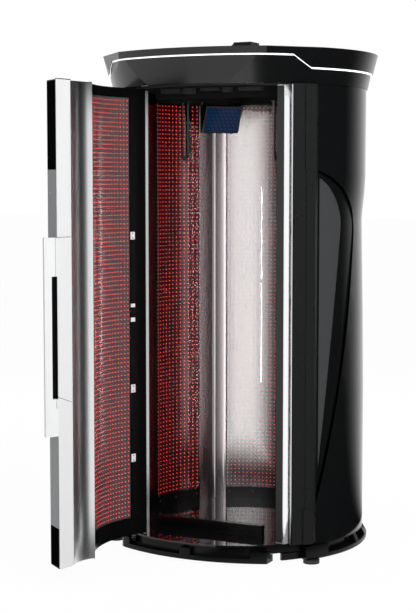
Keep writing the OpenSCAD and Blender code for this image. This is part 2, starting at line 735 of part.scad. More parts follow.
// Strip along the door's facet, up to the white end profile
module edge_strip(z0, z1) {
    facet_bar([[facet_s0, door_facet_d - 5], [door_s1 - 12, door_facet_d - 5],
        [door_s1 - 10.4, door_facet_d - 1.4], [door_s1 - 10.4, door_facet_d],
        [facet_s0, door_facet_d]], z0, z1);
}
module door_edge_strip() {
    color("#a2a4a6") door_pose() {
        edge_strip(strip_z0, strip_z1);
    }
}
module door_edge_caps() {
    color("#2f3133") door_pose() for (z = [[door_z0 + 4, strip_z0 - gap], [strip_z1 + gap, door_z1 - 4]])
        edge_strip(z[0], z[1]);
}
module door_end_profile() {
    o = plan_pt(end_out);
    i = plan_pt(end_in);
    u = end_dir;
    n = end_n;
    color("#eff0f1") door_pose() translate([0, 0, door_z0]) linear_extrude(door_z1 - door_z0)
        polygon([i + u * 2, o, o - u * 6 + n * 8, i + u * 6 + n * 8]);
}
module door_handle() {
    o = plan_pt(end_out);
    i = plan_pt(end_in);
    s0 = handle_s1 - handle_t;
    front = [i + end_dir * 8 - end_n * gap, o + end_dir * 12 - end_n * gap];
    color("#f1f2f3") door_pose() difference() {
        union() {
            facet_bar([[s0, door_facet_d + gap], [handle_s1, door_facet_d + gap],
                [handle_s1 + 12, door_facet_d + handle_out], [s0 + 8, door_facet_d + handle_out - 4]],
                handle_z0, handle_z1);
            translate([0, 0, handle_z0 + 120]) linear_extrude(handle_z1 - handle_z0 - 120)
                polygon([front[0], front[1], front[1] - end_n * 3, front[0] - end_n * 3]);
        }
        facet_bar([[s0 - 40, door_facet_d + 2], [handle_s1 + 40, door_facet_d + 2],
            [handle_s1 + 40, door_facet_d + 2 + slot_w], [s0 - 40, door_facet_d + 2 + slot_w]],
            slot_z0, slot_z1);
    }
}
module door_frame() {
    bar_t = 12;
    post_w = 16;
    door_h = door_z1 - door_z0;
    levels = [door_z0 + 4, door_z0 + 0.3 * door_h, door_z0 + 0.65 * door_h, door_z1 - 4 - bar_t];
    color("#191a1b") door_pose() {
        for (z = levels) difference() {
            intersection() {
                translate([0, bow_y, z]) cylinder(h = bar_t, r = bow_r - skin_t - gap);
                translate([-hinge_x + 22, -700, z - cut]) cube([hinge_x + 340, 400, bar_t + 10]);
                facet_cut(door_facet_d - 5 - gap, 0, z, z + bar_t, 900);
            }
            translate([0, 0, z - cut]) cylinder(h = bar_t + 10, r = fin_r1 + gap);
            free_end(z - cut, z + bar_t + cut);
            translate([-500, -442, z - cut]) cube([204, 200, bar_t + 10]);
            translate([-200, -560, z - cut]) cube([400, 40, bar_t + 10]);
        }
        for (x = [-300, 300]) intersection() {
            translate([x - post_w / 2, -558, door_z0 + 4]) cube([post_w, 58, door_h - 8]);
            translate([0, bow_y, 0]) cylinder(h = far, r = bow_r - skin_t - gap);
        }
    }
}
module door_led_wall() { color("#3a1013") door_pose() led_wall(-door_a, door_a, led_z0 + 30, led_z1 - 10); }
module door_cover() { color("#55585b") door_pose() cover(-door_a, door_a, led_z0 + 30, led_z1 - 10); }
// Black bands under and over the door's LED wall
module door_panels() {
    color("#18191a") door_pose()
        for (z = [[door_z0 + 4 + gap, led_z0 + 30 - gap], [led_z1 - 10 + gap, door_z1 - 4 - gap]])
            arc_wall(room_r, cover_r, -door_a, door_a, z[0], z[1]);
}
module door_column() {
    q = [plan_pt(column_in), plan_pt(end_in)];
    difference() {
        translate([0, 0, door_z0 + 4]) linear_extrude(door_z1 - door_z0 - 8)
            polygon([q[0], q[1], column_back[1], column_back[0]]);
        hollow_cut(q[1], q[0], 16, 0, far);
    }
}
module door_free_column() { color("#d9dbdc") door_pose() door_column(); }
module door_hinge_column() {
    color("#17181a") door_pose()
        arc_wall(room_r, fin_r1, -door_a - 11, -door_a - end_a, door_z0 + 4, door_z1 - 4);
}
module door_caps() {
    color("#131415") door_pose() for (z = [[door_z0, door_z0 + 4], [door_z1 - 4, door_z1]])
        difference() {
            intersection() {
                translate([0, bow_y, z[0]]) cylinder(h = 4, r = bow_r);
                translate([-bow_half, -700, z[0] - cut]) cube([2 * bow_half + 200, 400, 10]);
                facet_cut(door_facet_d, 0, z[0], z[1], 900);
                union() {
                    translate([-hinge_x + 22, -800, 0]) cube([hinge_x + 308, 500, far]);
                    translate([-bow_half, -800, 0]) cube([60, 800 - 480, far]);
                    facet_rect(-140, door_s1 - 10, 570, 700, 0, far);
                }
            }
            translate([-500, -442, z[0] - cut]) cube([204, 200, 10]);
            free_end(z[0] - cut, z[1] + cut);
            translate([0, 0, z[0] - cut]) cylinder(h = 10, r = room_r);
        }
}
module door_knuckles() {
    p = [-hinge_x, -hinge_y];
    color("#c7c9cb") door_pose() for (z = hinge_zs) translate([0, 0, z - knuckle_h / 2]) difference() {
        union() {
            translate(p) cylinder(h = knuckle_h, r = knuckle_r);
            linear_extrude(knuckle_h) polygon([p + [-10, -11], p + [12, -8], [-315, p[1] - 57],
                [-315, p[1] - 83]]);
        }
        translate([p[0], p[1], -cut]) cylinder(h = 100, r = pin_r + 0.05);
    }
}

levelling_feet();
base_frame();
base_ring();
front_skirt();
right_base_block();
left_base_block();
cabin_floor();
sill_beam();
kick_plate();
rear_shell();
right_shell();
left_shell();
right_scoop_panel();
left_scoop_panel();
right_jamb();
left_jamb();
right_pilaster();
left_pilaster();
right_chrome_column();
left_silver_column();
right_inner_panel();
left_inner_panel();
right_led_wall();
left_led_wall();
rear_led_wall();
right_cover();
left_cover();
rear_cover();
right_mid_column();
left_mid_column();
led_drivers();
wall_header();
ceiling_plate();
ceiling_ducts();
fan_housings();
grab_handles();
display_bracket();
display_housing();
display_glass();
lower_crown();
upper_crown();
accent_light();
roof_box();
hinge_brackets();
hinge_pins();
door_frame();
door_skin();
door_led_wall();
door_cover();
door_free_column();
door_hinge_column();
door_end_profile();
door_panels();
door_edge_strip();
door_edge_caps();
door_handle();
door_caps();
door_knuckles();
left_fan_rotor();
right_fan_rotor();
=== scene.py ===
"""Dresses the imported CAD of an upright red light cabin: LED fields, small parts, finishes, lamps and camera.

All lengths are in metres in the CAD's own frame: the cabin's axis is +Z, and the doorway faces -Y. Plan angles are in
degrees from the front, growing towards +X.
"""

import math

import bpy
import numpy as np
from bpy.props import FloatProperty, FloatVectorProperty, IntProperty, PointerProperty
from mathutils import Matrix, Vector


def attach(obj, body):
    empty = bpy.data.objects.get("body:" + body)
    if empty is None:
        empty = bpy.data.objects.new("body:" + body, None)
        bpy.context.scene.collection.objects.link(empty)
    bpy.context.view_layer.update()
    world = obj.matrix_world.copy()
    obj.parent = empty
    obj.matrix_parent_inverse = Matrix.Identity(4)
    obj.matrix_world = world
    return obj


bl_info = {
    "name": "Light Cabin Dresser",
    "version": (1, 0, 0),
    "blender": (4, 5, 0),
    "location": "View3D > Sidebar > Cabin",
    "description": "Builds the LED fields, small parts, finishes and studio of an upright light cabin",
    "category": "Object",
}

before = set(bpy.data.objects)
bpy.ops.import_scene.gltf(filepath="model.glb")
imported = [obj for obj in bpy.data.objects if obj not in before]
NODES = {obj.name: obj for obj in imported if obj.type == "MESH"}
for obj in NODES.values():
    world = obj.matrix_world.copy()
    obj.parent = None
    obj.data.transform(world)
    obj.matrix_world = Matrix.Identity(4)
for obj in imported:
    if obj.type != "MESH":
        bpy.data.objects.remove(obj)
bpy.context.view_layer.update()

# Plan radii of the CAD's room, of the boards' inner face and of the shells
ROOM_R = 0.450
BOARD_FACE_R = 0.456
SHELL_R = 0.604
# Heights of the floor, of the LED walls and of the ceiling
FLOOR_Z = 0.098
LED_Z0, LED_Z1 = 0.1533, 2.1404
CEILING_Z = 2.1807
# Plan angles of the walls and of the shut door, from end to end
RIGHT_A, REAR_A, LEFT_A = (89.0, 128.0), (146.0, 214.0), (232.0, 271.0)
DOOR_A = (-30.0, 30.0)
# The door's hinge axis in plan, the angle at which it stands open, and how far out its slanted front face lies
HINGE = (-0.370, -0.455)
DOOR_OPEN = 82.0
DOOR_FACET_D = 0.640

# LED fields: what the door's field leaves bare at its foot and top, and the rings of a lens, in degrees up its dome
DOOR_FIELD_FOOT, DOOR_FIELD_TOP = 0.030, 0.010
LENS_ARC = (0, 38, 66)

# Hinge plates on the door's inner side: radii, plan angles, and the middle height and length of each
PLATE_R = (0.4475, 0.4500)
PLATE_A = (-33.2, -30.2)
PLATES = ((1.501, 0.035), (1.179, 0.016), (1.113, 0.019), (0.792, 0.037), (0.466, 0.037))
# Screws of the long plates: plan angle, distance from the plate's middle, and the plates' heights
PLATE_SCREW_A = -31.7
PLATE_SCREW_UP = 0.011
PLATE_SCREW_Z = (0.466, 0.792, 1.501)
# Screws down the door's front face: place along it, and heights
FACE_SCREW_S = -0.084
FACE_SCREW_Z = (0.366, 0.82, 1.26, 1.703)
# Inner and outer edge of the door's white end profile, as (along, out) on the slanted face
END_IN, END_OUT = (-0.049, 0.559), (-0.011, 0.640)
# Dark line over the profile's top: how far it stands past the white face, its depth, its slant and its heights
CAP_PAST, CAP_DEEP, CAP_SLANT = 0.001, 0.009, 0.006
CAP_Z = (2.174, 2.1775)
# Plates that line the handle's finger slot: plan outlines, as (along, out) on the slanted face, and heights
SLOT_SIDE = ((-0.0309, 0.6423), (-0.0294, 0.6423), (-0.0259, 0.6677), (-0.0273, 0.6677))
SLOT_BACK = ((-0.0290, 0.6422), (-0.0104, 0.6422), (-0.0104, 0.6430), (-0.0290, 0.6430))
SLOT_Z = (0.8353, 1.3527)
# Painted shadow: thin dark bars along the handle plate's lower and upper edge, in place of the shade at its edges
# Shadow lines: heights at the profile's outer and inner edge, offsets past these edges, stand-off and radius
SHADOW_LINE_Z = ((0.846, 0.812), (1.5168, 1.5168))
SHADOW_LINE_PAST = (0.012, 0.008)
SHADOW_LINE_OFF, SHADOW_LINE_R = 0.0036, 0.0009

# Seals at the walls' ends: radii, and the near and far edge in degrees from the end
SEAL_R = (0.4475, 0.4499)
SEAL_A = (0.25, 1.0)
# Trims on the columns between the walls: radii, plan angles, and the gap to floor and ceiling
TRIM_R = (0.4455, 0.4509)
TRIM_A = (138.5, 138.8)
TRIM_GAP = 0.001
# Bright edges of the doorway, as (along, out) on the slanted face, and a seal beside the right chrome column, in plan;
# their gap to the floor, and their tops
DOORWAY_EDGE = ((0.0125, 0.6290), (0.0155, 0.6325), (0.0185, 0.6325), (0.0185, 0.6301), (0.0131, 0.6301))
COLUMN_SEAL = ((0.3755, -0.4194), (0.4080, -0.4172), (0.4080, -0.4160), (0.3760, -0.4180))
FOOT_GAP = 0.002
DOORWAY_EDGE_TOP, COLUMN_SEAL_TOP = 2.180, 2.178
# Small boxes under the ceiling: corner x, corner y, width, depth and height
CEILING_MODULES = (
    (-0.250, -0.350, 0.100, 0.050, 0.020), (-0.120, -0.370, 0.050, 0.030, 0.026), (-0.040, -0.360, 0.090, 0.050, 0.012),
    (0.080, -0.370, 0.035, 0.035, 0.022), (0.150, -0.350, 0.110, 0.050, 0.016),
)
# Matt strip under the crown over the doorway: radii, half its angle, and heights
CROWN_STRIP_R = (0.487, 0.565)
CROWN_STRIP_A = 44.0
CROWN_STRIP_Z = (2.1825, 2.1849)
# Screws above and below the walls: degrees from a wall's ends, how many in a row, and heights
WALL_SCREW_IN = 2.5
SIDE_SCREWS, REAR_SCREWS = 3, 5
WALL_SCREW_Z = (FLOOR_Z + 0.030, LED_Z1 + 0.020)
# The right fan's centre and radius; the left fan mirrors it
FAN_AT = (0.130, 0.040, 2.1347)
FAN_R = 0.070
# Fan guards: first ring, points in a ring, radii of the two wires, drop below the fan, spokes, and their reach
GUARD_R0, GUARD_STEPS = 0.018, 32
RING_WIRE, SPOKE_WIRE = 0.0011, 0.0014
GUARD_DROP = 0.006
SPOKES, SPOKE_REACH = 4, 0.006

# Scoops: plan angle they face, radius of their field, its outline across and up as seen square to the shell, the
# margins across and up that the field keeps to it, and the field's points up and across
SCOOP_A = 70.0
SCOOP_R = 0.5783
SCOOP_LEFT = -0.074
SCOOP_EDGE = (
    (-0.072, 0.380), (0.084, 1.520), (0.0861, 1.548), (0.0846, 1.582), (0.080, 1.602), (0.078, 1.608), (0.051, 1.661),
    (0.0145, 1.708), (-0.0215, 1.7415), (-0.060, 1.764),
)
SCOOP_MARGIN, SCOOP_MARGIN_UP = 0.0015, 0.002
SCOOP_ROWS, SCOOP_COLUMNS = 60, 9
# Screws of the rear seams: plan angles, first and last height, how many in a row, and how far a head is let in
SEAM_SCREW_A = (122.5, 127.5, 232.5, 237.5)
SEAM_SCREW_Z = (0.15, 2.10)
SEAM_SCREWS = 8
HEAD_SUNK = 0.0002
# The shells' waist, as a bell curve over the height: depth, height and width
WAIST_IN, WAIST_Z, WAIST_WIDE = 0.013, 1.57, 0.22

# Corners round a screw's head
SCREW_SIDES = 12
# How much cooler than neutral the blacks and greys are, by channel
COOL = (1.0, 1.03, 1.06)
# Depth of every finish's fine relief, before its own strength, and the covers' index of refraction
RELIEF = 0.0005
ACRYLIC_IOR = 1.49

# Satin paints and plastics: name, value, roughness, sheen, and the nodes that wear it
BODY_PAINTS = (
    ("roof black", 0.003, 0.4, 0.2, "roof_box"),
    ("jamb black", 0.016, 0.28, 0.3, "right_jamb", "left_jamb", "right_pilaster", "left_pilaster"),
    ("base black", 0.003, 0.25, 0.15, "right_base_block", "left_base_block", "base_ring", "front_skirt", "base_frame",
     "sill_beam", "kick_plate"),
    ("foot rubber", 0.02, 0.6, 0.5, "levelling_feet"),
)
INSIDE_PAINTS = (
    ("dark board", 0.01, 0.26, 0.5, "right_led_wall", "left_led_wall", "rear_led_wall"),
    # Painted light: the door's board is the same board as the walls', given a lighter grey in place of the light and
    # grey reflection its panel catches
    ("door board with painted light", 0.095, 0.4, 0.5, "door_led_wall"),
    ("inner black", 0.003, 0.2, 0.15, "right_inner_panel", "left_inner_panel", "grab_handles", "display_bracket",
     "door_frame", "door_hinge_column", "door_panels", "door_caps"),
    ("ceiling black", 0.022, 0.7, 0.0, "wall_header", "ceiling_plate", "ceiling_ducts", "fan_housings"),
    ("fan plastic", 0.012, 0.8, 0.0, "left_fan_rotor", "right_fan_rotor"),
    ("display black", 0.004, 0.5, 0.12, "display_housing"),
)
DOOR_PAINTS = (
    ("edge grey", 0.36, 0.4, 0.2, "door_edge_strip"),
    ("cap dark", 0.004, 0.5, 0.0, "door_edge_caps"),
)
# Metals: name, colour, roughness, grain, haze, and the nodes that wear it
COLUMN_METALS = (
    ("drawn aluminium", (0.26, 0.23, 0.235), 0.17, 0.03, 0.03, "right_mid_column", "left_mid_column", "led_drivers"),
    ("polished column", (0.86, 0.87, 0.88), 0.14, 0.0, 0.02, "right_chrome_column"),
    ("silver column", (0.5, 0.505, 0.51), 0.24, 0.02, 0.02, "left_silver_column"),
    ("door column", (0.8, 0.81, 0.82), 0.28, 0.04, 0.02, "door_free_column"),
)
HINGE_METALS = (("hinge steel", (0.6, 0.61, 0.62), 0.25, 0.1, 0.05, "hinge_pins", "door_knuckles"),)

# Studio floor: half its width, points to a side, share and strength of its own white
FLOOR_HALF, FLOOR_POINTS = 60.0, 15
FLOOR_SHARE, FLOOR_WHITE = 0.93, 1.03
# Light card towards the rear wall: its two edges in plan, its heights, and its fades as (axis, opaque at, clear at)
REAR_CARD = ((-0.28, -0.20), (0.40, -0.20))
REAR_CARD_Z = (0.10, 2.17)
REAR_CARD_FADES = (("X", 0.10, 0.42), ("X", 0.0, -0.27), ("Z", 0.36, 0.10), ("Z", 2.02, 2.19))
# Cards towards the left and the right column: edges in plan, and the heights of both
SILVER_CARD = ((0.64, -0.98), (0.40, -1.22))
CHROME_CARD = ((0.126, -0.754), (-0.006, -0.544))
COLUMN_CARD_Z = (0.03, 2.15)
# Strip lamps: their edges in x, their y towards the rear and towards the door, and the heights of each
STRIP_X = (-0.1215, -0.1125)
REAR_STRIP_Y, DOOR_STRIP_Y = -0.198, -0.202
STRIPS = (
    ("lower_rear_strip", (0.62, 1.18)), ("upper_rear_strip", (1.20, 1.72)),
    ("lower_door_strip", (0.85, 1.29)), ("upper_door_strip", (1.336, 1.72)),
)
# Black flag round the cabin's right: plan angles, near and far radius, foot and top, and where it fades in and out
DARK_FLAG_A, DARK_FLAG_STEPS = (25, 179), 33
DARK_FLAG_R = (0.8, 7.0)
DARK_FLAG_Z = (0.01, 9.0)
DARK_FLAG_FADES = ((25, 45), (128, 172))
# Black flag on the floor before the doorway: x, y, height, and the plan angles where it fades in and out
FLOOR_FLAG_X, FLOOR_FLAG_Y, FLOOR_FLAG_Z = (-0.10, 1.30), (-1.70, -0.66), 0.012
FLOOR_FLAG_FADES = ((-8, 4), (45, 60))
# What the three softboxes look at
LAMP_AIM = (0, 0, 1.1)


# ---------------------------------------------------------------- meshes


def add_mesh(name, verts, faces, material, smooth=True):
    """A mesh object at the origin, with its place in its vertices."""
    mesh = bpy.data.meshes.new(name)
    mesh.from_pydata(np.asarray(verts, float).reshape(-1, 3).tolist(), [], list(faces))
    mesh.polygons.foreach_set("use_smooth", np.full(len(mesh.polygons), smooth))
    mesh.materials.append(material)
    mesh.update()
    piece = bpy.data.objects.new(name, mesh)
    bpy.context.scene.collection.objects.link(piece)
    return piece


def grid_faces(rows, cols, wrap_cols=False):
    """Quads between neighbours of a rows x cols grid of points, row by row, as an array of corner numbers."""
    r = np.arange(rows - 1)[:, None]
    c = np.arange(cols if wrap_cols else cols - 1)[None, :]
    nxt = (c + 1) % cols
    a, b = r * cols + c, r * cols + nxt
    d, e = (r + 1) * cols + c, (r + 1) * cols + nxt
    return np.stack([a, b, e, d], -1).reshape(-1, 4)


def door_turned(points):
    """Points of the shut door, turned by the angle it stands open about its hinge axis."""
    a = -math.radians(DOOR_OPEN)
    p = np.array(points, float)
    x, y = p[..., 0] - HINGE[0], p[..., 1] - HINGE[1]
    p[..., 0] = HINGE[0] + x * math.cos(a) - y * math.sin(a)
    p[..., 1] = HINGE[1] + x * math.sin(a) + y * math.cos(a)
    return p


def around(angle, radius, z):
    """Points on circles round the cabin's axis: (r sin a, -r cos a, z), the angle a in degrees from the front."""
    a = np.radians(np.asarray(angle, float))
    x, y, z = np.broadcast_arrays(radius * np.sin(a), -radius * np.cos(a), z)
    return np.stack([x, y, z], -1)


def facet(s, d, z, side=1):
    """Points from s along the slanted front facet and d outwards: x = (d + s) / root 2, y = (s - d) / root 2."""
    s, d, z = np.broadcast_arrays(np.asarray(s, float), d, z)
    return np.stack([side * (d + s), s - d, z * math.sqrt(2)], -1) / math.sqrt(2)


def led_points(a0, a1, z0, z1, pitch, across):
    """Centres and inward directions of a field of LEDs on the board's inner face.

    The angles fill the field evenly at about the distance across, and the heights at the pitch, half a step in.
    """
    cols = max(int(round(math.radians(a1 - a0) * BOARD_FACE_R / across)), 1)
    rows = max(int(round((z1 - z0) / pitch)), 1)
    a = a0 + (np.arange(cols) + 0.5) * (a1 - a0) / cols
    z = z0 + (np.arange(rows) + 0.5) * (z1 - z0) / rows
    aa, zz = np.meshgrid(a, z)
    centre = around(aa.ravel(), BOARD_FACE_R, zz.ravel())
    inward = -around(aa.ravel(), 1.0, 0.0)
    return centre, inward


def unit_rings(ahead, sides):
    """A unit circle square to each direction; its point i stands at the angle 2 pi i / sides about the direction."""
    steep = np.abs(ahead[:, 2:3]) > 0.9
    side = np.cross(ahead, np.where(steep, [[1.0, 0, 0]], [[0, 0, 1.0]]))
    side = side / np.linalg.norm(side, axis=1, keepdims=True)
    up = np.cross(ahead, side)
    turn = np.arange(sides) / sides * 2 * math.pi
    return side[:, None, :] * np.cos(turn)[None, :, None] + up[:, None, :] * np.sin(turn)[None, :, None]


def turned(centre, axis, profile, sides=8):
    """Turned parts on a field of points, all in one mesh.

    The profile lists (radius, rise) from the foot up, and a last radius of nought closes the part at its tip.
    """
    centre, axis = np.atleast_2d(centre), np.atleast_2d(axis)
    axis = axis / np.linalg.norm(axis, axis=1, keepdims=True)
    flat = unit_rings(axis, sides)
    open_rings = [q for q in profile if q[0] > 0]
    rings = [centre[:, None, :] + flat * r + axis[:, None, :] * h for r, h in open_rings]
    tip = centre[:, None, :] + axis[:, None, :] * profile[-1][1]
    verts = np.concatenate([*rings, tip], 1)
    one = grid_faces(len(open_rings), sides, wrap_cols=True)
    last = (len(open_rings) - 1) * sides
    caps = np.array([[last + i, last + (i + 1) % sides, len(open_rings) * sides] for i in range(sides)])
    per = len(open_rings) * sides + 1
    base = np.arange(len(centre))[:, None, None] * per
    quads = (one[None] + base).reshape(-1, 4).tolist()
    tris = (caps[None] + base).reshape(-1, 3).tolist()
    return verts.reshape(-1, 3), quads + tris


def prism(outline, z0, z1):
    """Closed upright prism over a plan outline given as (x, y) points, with its sides and its two flat ends.

    An outline whose signed area, half the sum of x y' - x' y, is negative runs clockwise and is turned round first.
    """
    plan = np.asarray(outline, float)[:, :2]
    nxt = np.roll(plan, -1, 0)
    if np.sum(plan[:, 0] * nxt[:, 1] - nxt[:, 0] * plan[:, 1]) < 0:
        plan = plan[::-1]
    n = len(plan)
    verts = np.concatenate([np.column_stack([plan, np.full(n, z)]) for z in (z0, z1)])
    sides = grid_faces(2, n, wrap_cols=True).tolist()
    return verts, [*sides, list(range(n))[::-1], list(range(n, 2 * n))]


def arc_plan(r0, r1, a0, a1, steps=12):
    """Plan outline of a wall between two radii and two angles."""
    a = np.linspace(a0, a1, steps)
    return np.concatenate([around(a, r1, 0.0), around(a[::-1], r0, 0.0)])


def tube(path, radius, sides=8, closed=False):
    """Round bar along a path of points; each ring stands square to the path's direction there."""
    p = np.asarray(path, float)
    ahead = np.roll(p, -1, 0) - np.roll(p, 1, 0)
    if not closed:
        ahead[0], ahead[-1] = p[1] - p[0], p[-1] - p[-2]
    ahead = ahead / np.linalg.norm(ahead, axis=1, keepdims=True)
    verts = p[:, None] + radius * unit_rings(ahead, sides)
    faces = grid_faces(len(p), sides, wrap_cols=True)
    if closed:
        last = (len(p) - 1) * sides
        join = [[last + i, last + (i + 1) % sides, (i + 1) % sides, i] for i in range(sides)]
        faces = np.concatenate([faces, join])
    return verts.reshape(-1, 3), faces.tolist()


def merged(parts):
    """Several (verts, faces) parts as one."""
    verts, faces, base = [], [], 0
    for v, f in parts:
        v = np.asarray(v, float).reshape(-1, 3)
        verts.append(v)
        faces += [[i + base for i in face] for face in f]
        base += len(v)
    return np.concatenate(verts), faces


def scoop_field(side):
    """The grey field in a scoop's sunk pocket, as strips of points that follow its outline from edge to edge.

    Its outline is given across and up, seen square to the shell at SCOOP_A. A point t across lies on the circle of
    radius SCOOP_R, so it stands sqrt(R^2 - t^2) out along that direction.
    """
    edge_t, edge_z = np.array(SCOOP_EDGE).T
    z = np.linspace(edge_z.min() + SCOOP_MARGIN_UP, edge_z.max() - SCOOP_MARGIN_UP, SCOOP_ROWS)
    far_t = np.interp(z, edge_z, edge_t) - SCOOP_MARGIN
    near_t = np.full_like(z, SCOOP_LEFT + SCOOP_MARGIN)
    share = np.linspace(0, 1, SCOOP_COLUMNS)
    t = near_t[:, None] + (far_t - near_t)[:, None] * share
    out = np.sqrt(SCOOP_R**2 - t**2)
    a = math.radians(SCOOP_A)
    x = out * math.sin(a) + t * math.cos(a)
    y = -out * math.cos(a) + t * math.sin(a)
    zz = np.broadcast_to(z[:, None], t.shape)
    faces = grid_faces(SCOOP_ROWS, SCOOP_COLUMNS)
    return np.stack([side * x, y, zz], -1).reshape(-1, 3), (faces if side > 0 else faces[:, ::-1]).tolist()


def screw_profile(radius):
    """Half section of a cap screw, in shares of its radius: chamfered head with a sunk round socket."""
    shares = ((1.0, 0.0), (1.0, 0.3), (0.86, 0.5), (0.5, 0.5), (0.44, 0.2), (0.0, 0.2))
    return [(r * radius, rise * radius) for r, rise in shares]


# ------------------------------------------------------------- materials


def group(name, inputs, outputs, build):
    """A shader node group with named float inputs and outputs, built once."""
    if name in bpy.data.node_groups:
        return bpy.data.node_groups[name]
    tree = bpy.data.node_groups.new(name, "ShaderNodeTree")
    for label, default in inputs:
        sock = tree.interface.new_socket(name=label, in_out="INPUT", socket_type="NodeSocketFloat")
        sock.default_value = default
    for label in outputs:
        tree.interface.new_socket(name=label, in_out="OUTPUT", socket_type="NodeSocketFloat")
    build(tree, tree.nodes.new("NodeGroupInput"), tree.nodes.new("NodeGroupOutput"))
    return tree


def math_node(tree, operation, a, b):
    """A Math node whose two inputs are sockets or plain numbers."""
    node = tree.nodes.new("ShaderNodeMath")
    node.operation = operation
    for i, value in enumerate((a, b)):
        if isinstance(value, (int, float)):
            node.inputs[i].default_value = value
        else:
            tree.links.new(value, node.inputs[i])
    return node.outputs[0]


def stretched_noise(tree, scale, detail=3.0, rough=0.6):
    """Noise on Object coordinates, each axis at its own scale."""
    coord = tree.nodes.new("ShaderNodeTexCoord")
    place = tree.nodes.new("ShaderNodeMapping")
    place.inputs["Scale"].default_value = scale
    tree.links.new(coord.outputs["Object"], place.inputs["Vector"])
    noise = tree.nodes.new("ShaderNodeTexNoise")
    noise.inputs["Scale"].default_value = 1.0
    noise.inputs["Detail"].default_value = detail
    noise.inputs["Roughness"].default_value = rough
    tree.links.new(place.outputs["Vector"], noise.inputs["Vector"])
    return noise.outputs["Fac"]


def uneven(tree, value, noise, amount):
    """The value, swung by the noise about its middle: value + (noise - 0.5) * amount."""
    swing = math_node(tree, "MULTIPLY", math_node(tree, "SUBTRACT", noise, 0.5), amount)
    return math_node(tree, "ADD", value, swing)


def object_xyz(tree):
    """The three Object coordinates, by axis."""
    coord, split = tree.nodes.new("ShaderNodeTexCoord"), tree.nodes.new("ShaderNodeSeparateXYZ")
    tree.links.new(coord.outputs["Object"], split.inputs["Vector"])
    return split.outputs


def mixed_surface(tree, share, first, second):
    """Surface that goes from the first shader to the second as the share goes from nought to one."""
    mix = tree.nodes.new("ShaderNodeMixShader")
    tree.links.new(share, mix.inputs["Fac"])
    tree.links.new(first, mix.inputs[1])
    tree.links.new(second, mix.inputs[2])
    tree.links.new(mix.outputs["Shader"], tree.nodes["Material Output"].inputs["Surface"])


def lacquer_group():
    """Sprayed lacquer: a slow waviness, and wiping haze that makes the gloss a little uneven."""

    def build(tree, inp, out):
        wave = stretched_noise(tree, (9, 9, 5), detail=1.0)
        fine = stretched_noise(tree, (420, 420, 420), detail=2.0)
        both = math_node(tree, "ADD", wave, math_node(tree, "MULTIPLY", fine, inp.outputs["Peel"]))
        haze = stretched_noise(tree, (14, 14, 3.2), detail=5.0, rough=0.65)
        tree.links.new(both, out.inputs["Height"])
        tree.links.new(uneven(tree, inp.outputs["Roughness"], haze, inp.outputs["Haze"]), out.inputs["Roughness"])

    return group("Lacquer", [("Roughness", 0.1), ("Haze", 0.06), ("Peel", 0.12)], ["Height", "Roughness"], build)


def grain_group():
    """Drawn or brushed metal: fine lines along Z."""

    def build(tree, inp, out):
        lines = stretched_noise(tree, (900, 900, 4), detail=2.0)
        broad = stretched_noise(tree, (60, 60, 1.2))
        rough = uneven(tree, inp.outputs["Roughness"], lines, inp.outputs["Grain"])
        tree.links.new(lines, out.inputs["Height"])
        tree.links.new(uneven(tree, rough, broad, inp.outputs["Haze"]), out.inputs["Roughness"])

    return group("Drawn Grain", [("Roughness", 0.2), ("Grain", 0.1), ("Haze", 0.1)], ["Height", "Roughness"], build)


def powder_group():
    """Powder coat or moulded plastic: an even fine texture with a dusty bloom."""

    def build(tree, inp, out):
        grain = stretched_noise(tree, (650, 650, 650), detail=2.0)
        bloom = stretched_noise(tree, (7, 7, 4), detail=4.0, rough=0.7)
        tree.links.new(grain, out.inputs["Height"])
        tree.links.new(uneven(tree, inp.outputs["Roughness"], bloom, inp.outputs["Bloom"]), out.inputs["Roughness"])

    return group("Powder Coat", [("Roughness", 0.4), ("Bloom", 0.1)], ["Height", "Roughness"], build)


def fresh_material(name):
    """A new material, its node tree and its Principled shader."""
    mat = bpy.data.materials.new(name)
    mat.use_nodes = True
    return mat, mat.node_tree, mat.node_tree.nodes["Principled BSDF"]


def finish(name, colour, effect, effect_values, bump=0.02, **sockets):
    """A material, built once: a Principled shader with constant sockets, and an effect group's roughness and relief."""
    if name in bpy.data.materials:
        return bpy.data.materials[name]
    mat, tree, shader = fresh_material(name)
    shader.inputs["Base Color"].default_value = (*colour, 1)
    for label, value in sockets.items():
        shader.inputs[label.replace("_", " ")].default_value = value
    node = tree.nodes.new("ShaderNodeGroup")
    node.node_tree = effect
    for label, value in effect_values.items():
        node.inputs[label].default_value = value
    tree.links.new(node.outputs["Roughness"], shader.inputs["Roughness"])
    lift = tree.nodes.new("ShaderNodeBump")
    lift.inputs["Strength"].default_value = bump
    lift.inputs["Distance"].default_value = RELIEF
    tree.links.new(node.outputs["Height"], lift.inputs["Height"])
    tree.links.new(lift.outputs["Normal"], shader.inputs["Normal"])
    return mat


def gloss_black(name="gloss black lacquer", roughness=0.08):
    """Black lacquer over a smooth shell."""
    return finish(name, (0.006, 0.0064, 0.0068), lacquer_group(), {"Roughness": roughness, "Haze": 0.04}, IOR=1.5)


def satin_black(name, value, roughness, sheen=0.5):
    """Black or grey paint or plastic, a little cool; its sheen is the specular level, one half for plain plastic."""
    return finish(
        name, [value * tint for tint in COOL], powder_group(), {"Roughness": roughness, "Bloom": 0.1}, bump=0.05,
        Specular_IOR_Level=sheen,
    )


def metal(name, colour, roughness, grain, haze):
    """Bare metal with lines along Z."""
    return finish(
        name, colour, grain_group(), {"Roughness": roughness, "Grain": grain, "Haze": haze}, bump=0.03, Metallic=1.0
    )


def black_steel():
    """Blackened steel of the small screws."""
    return metal("black steel", (0.03, 0.03, 0.032), roughness=0.3, grain=0.1, haze=0.05)


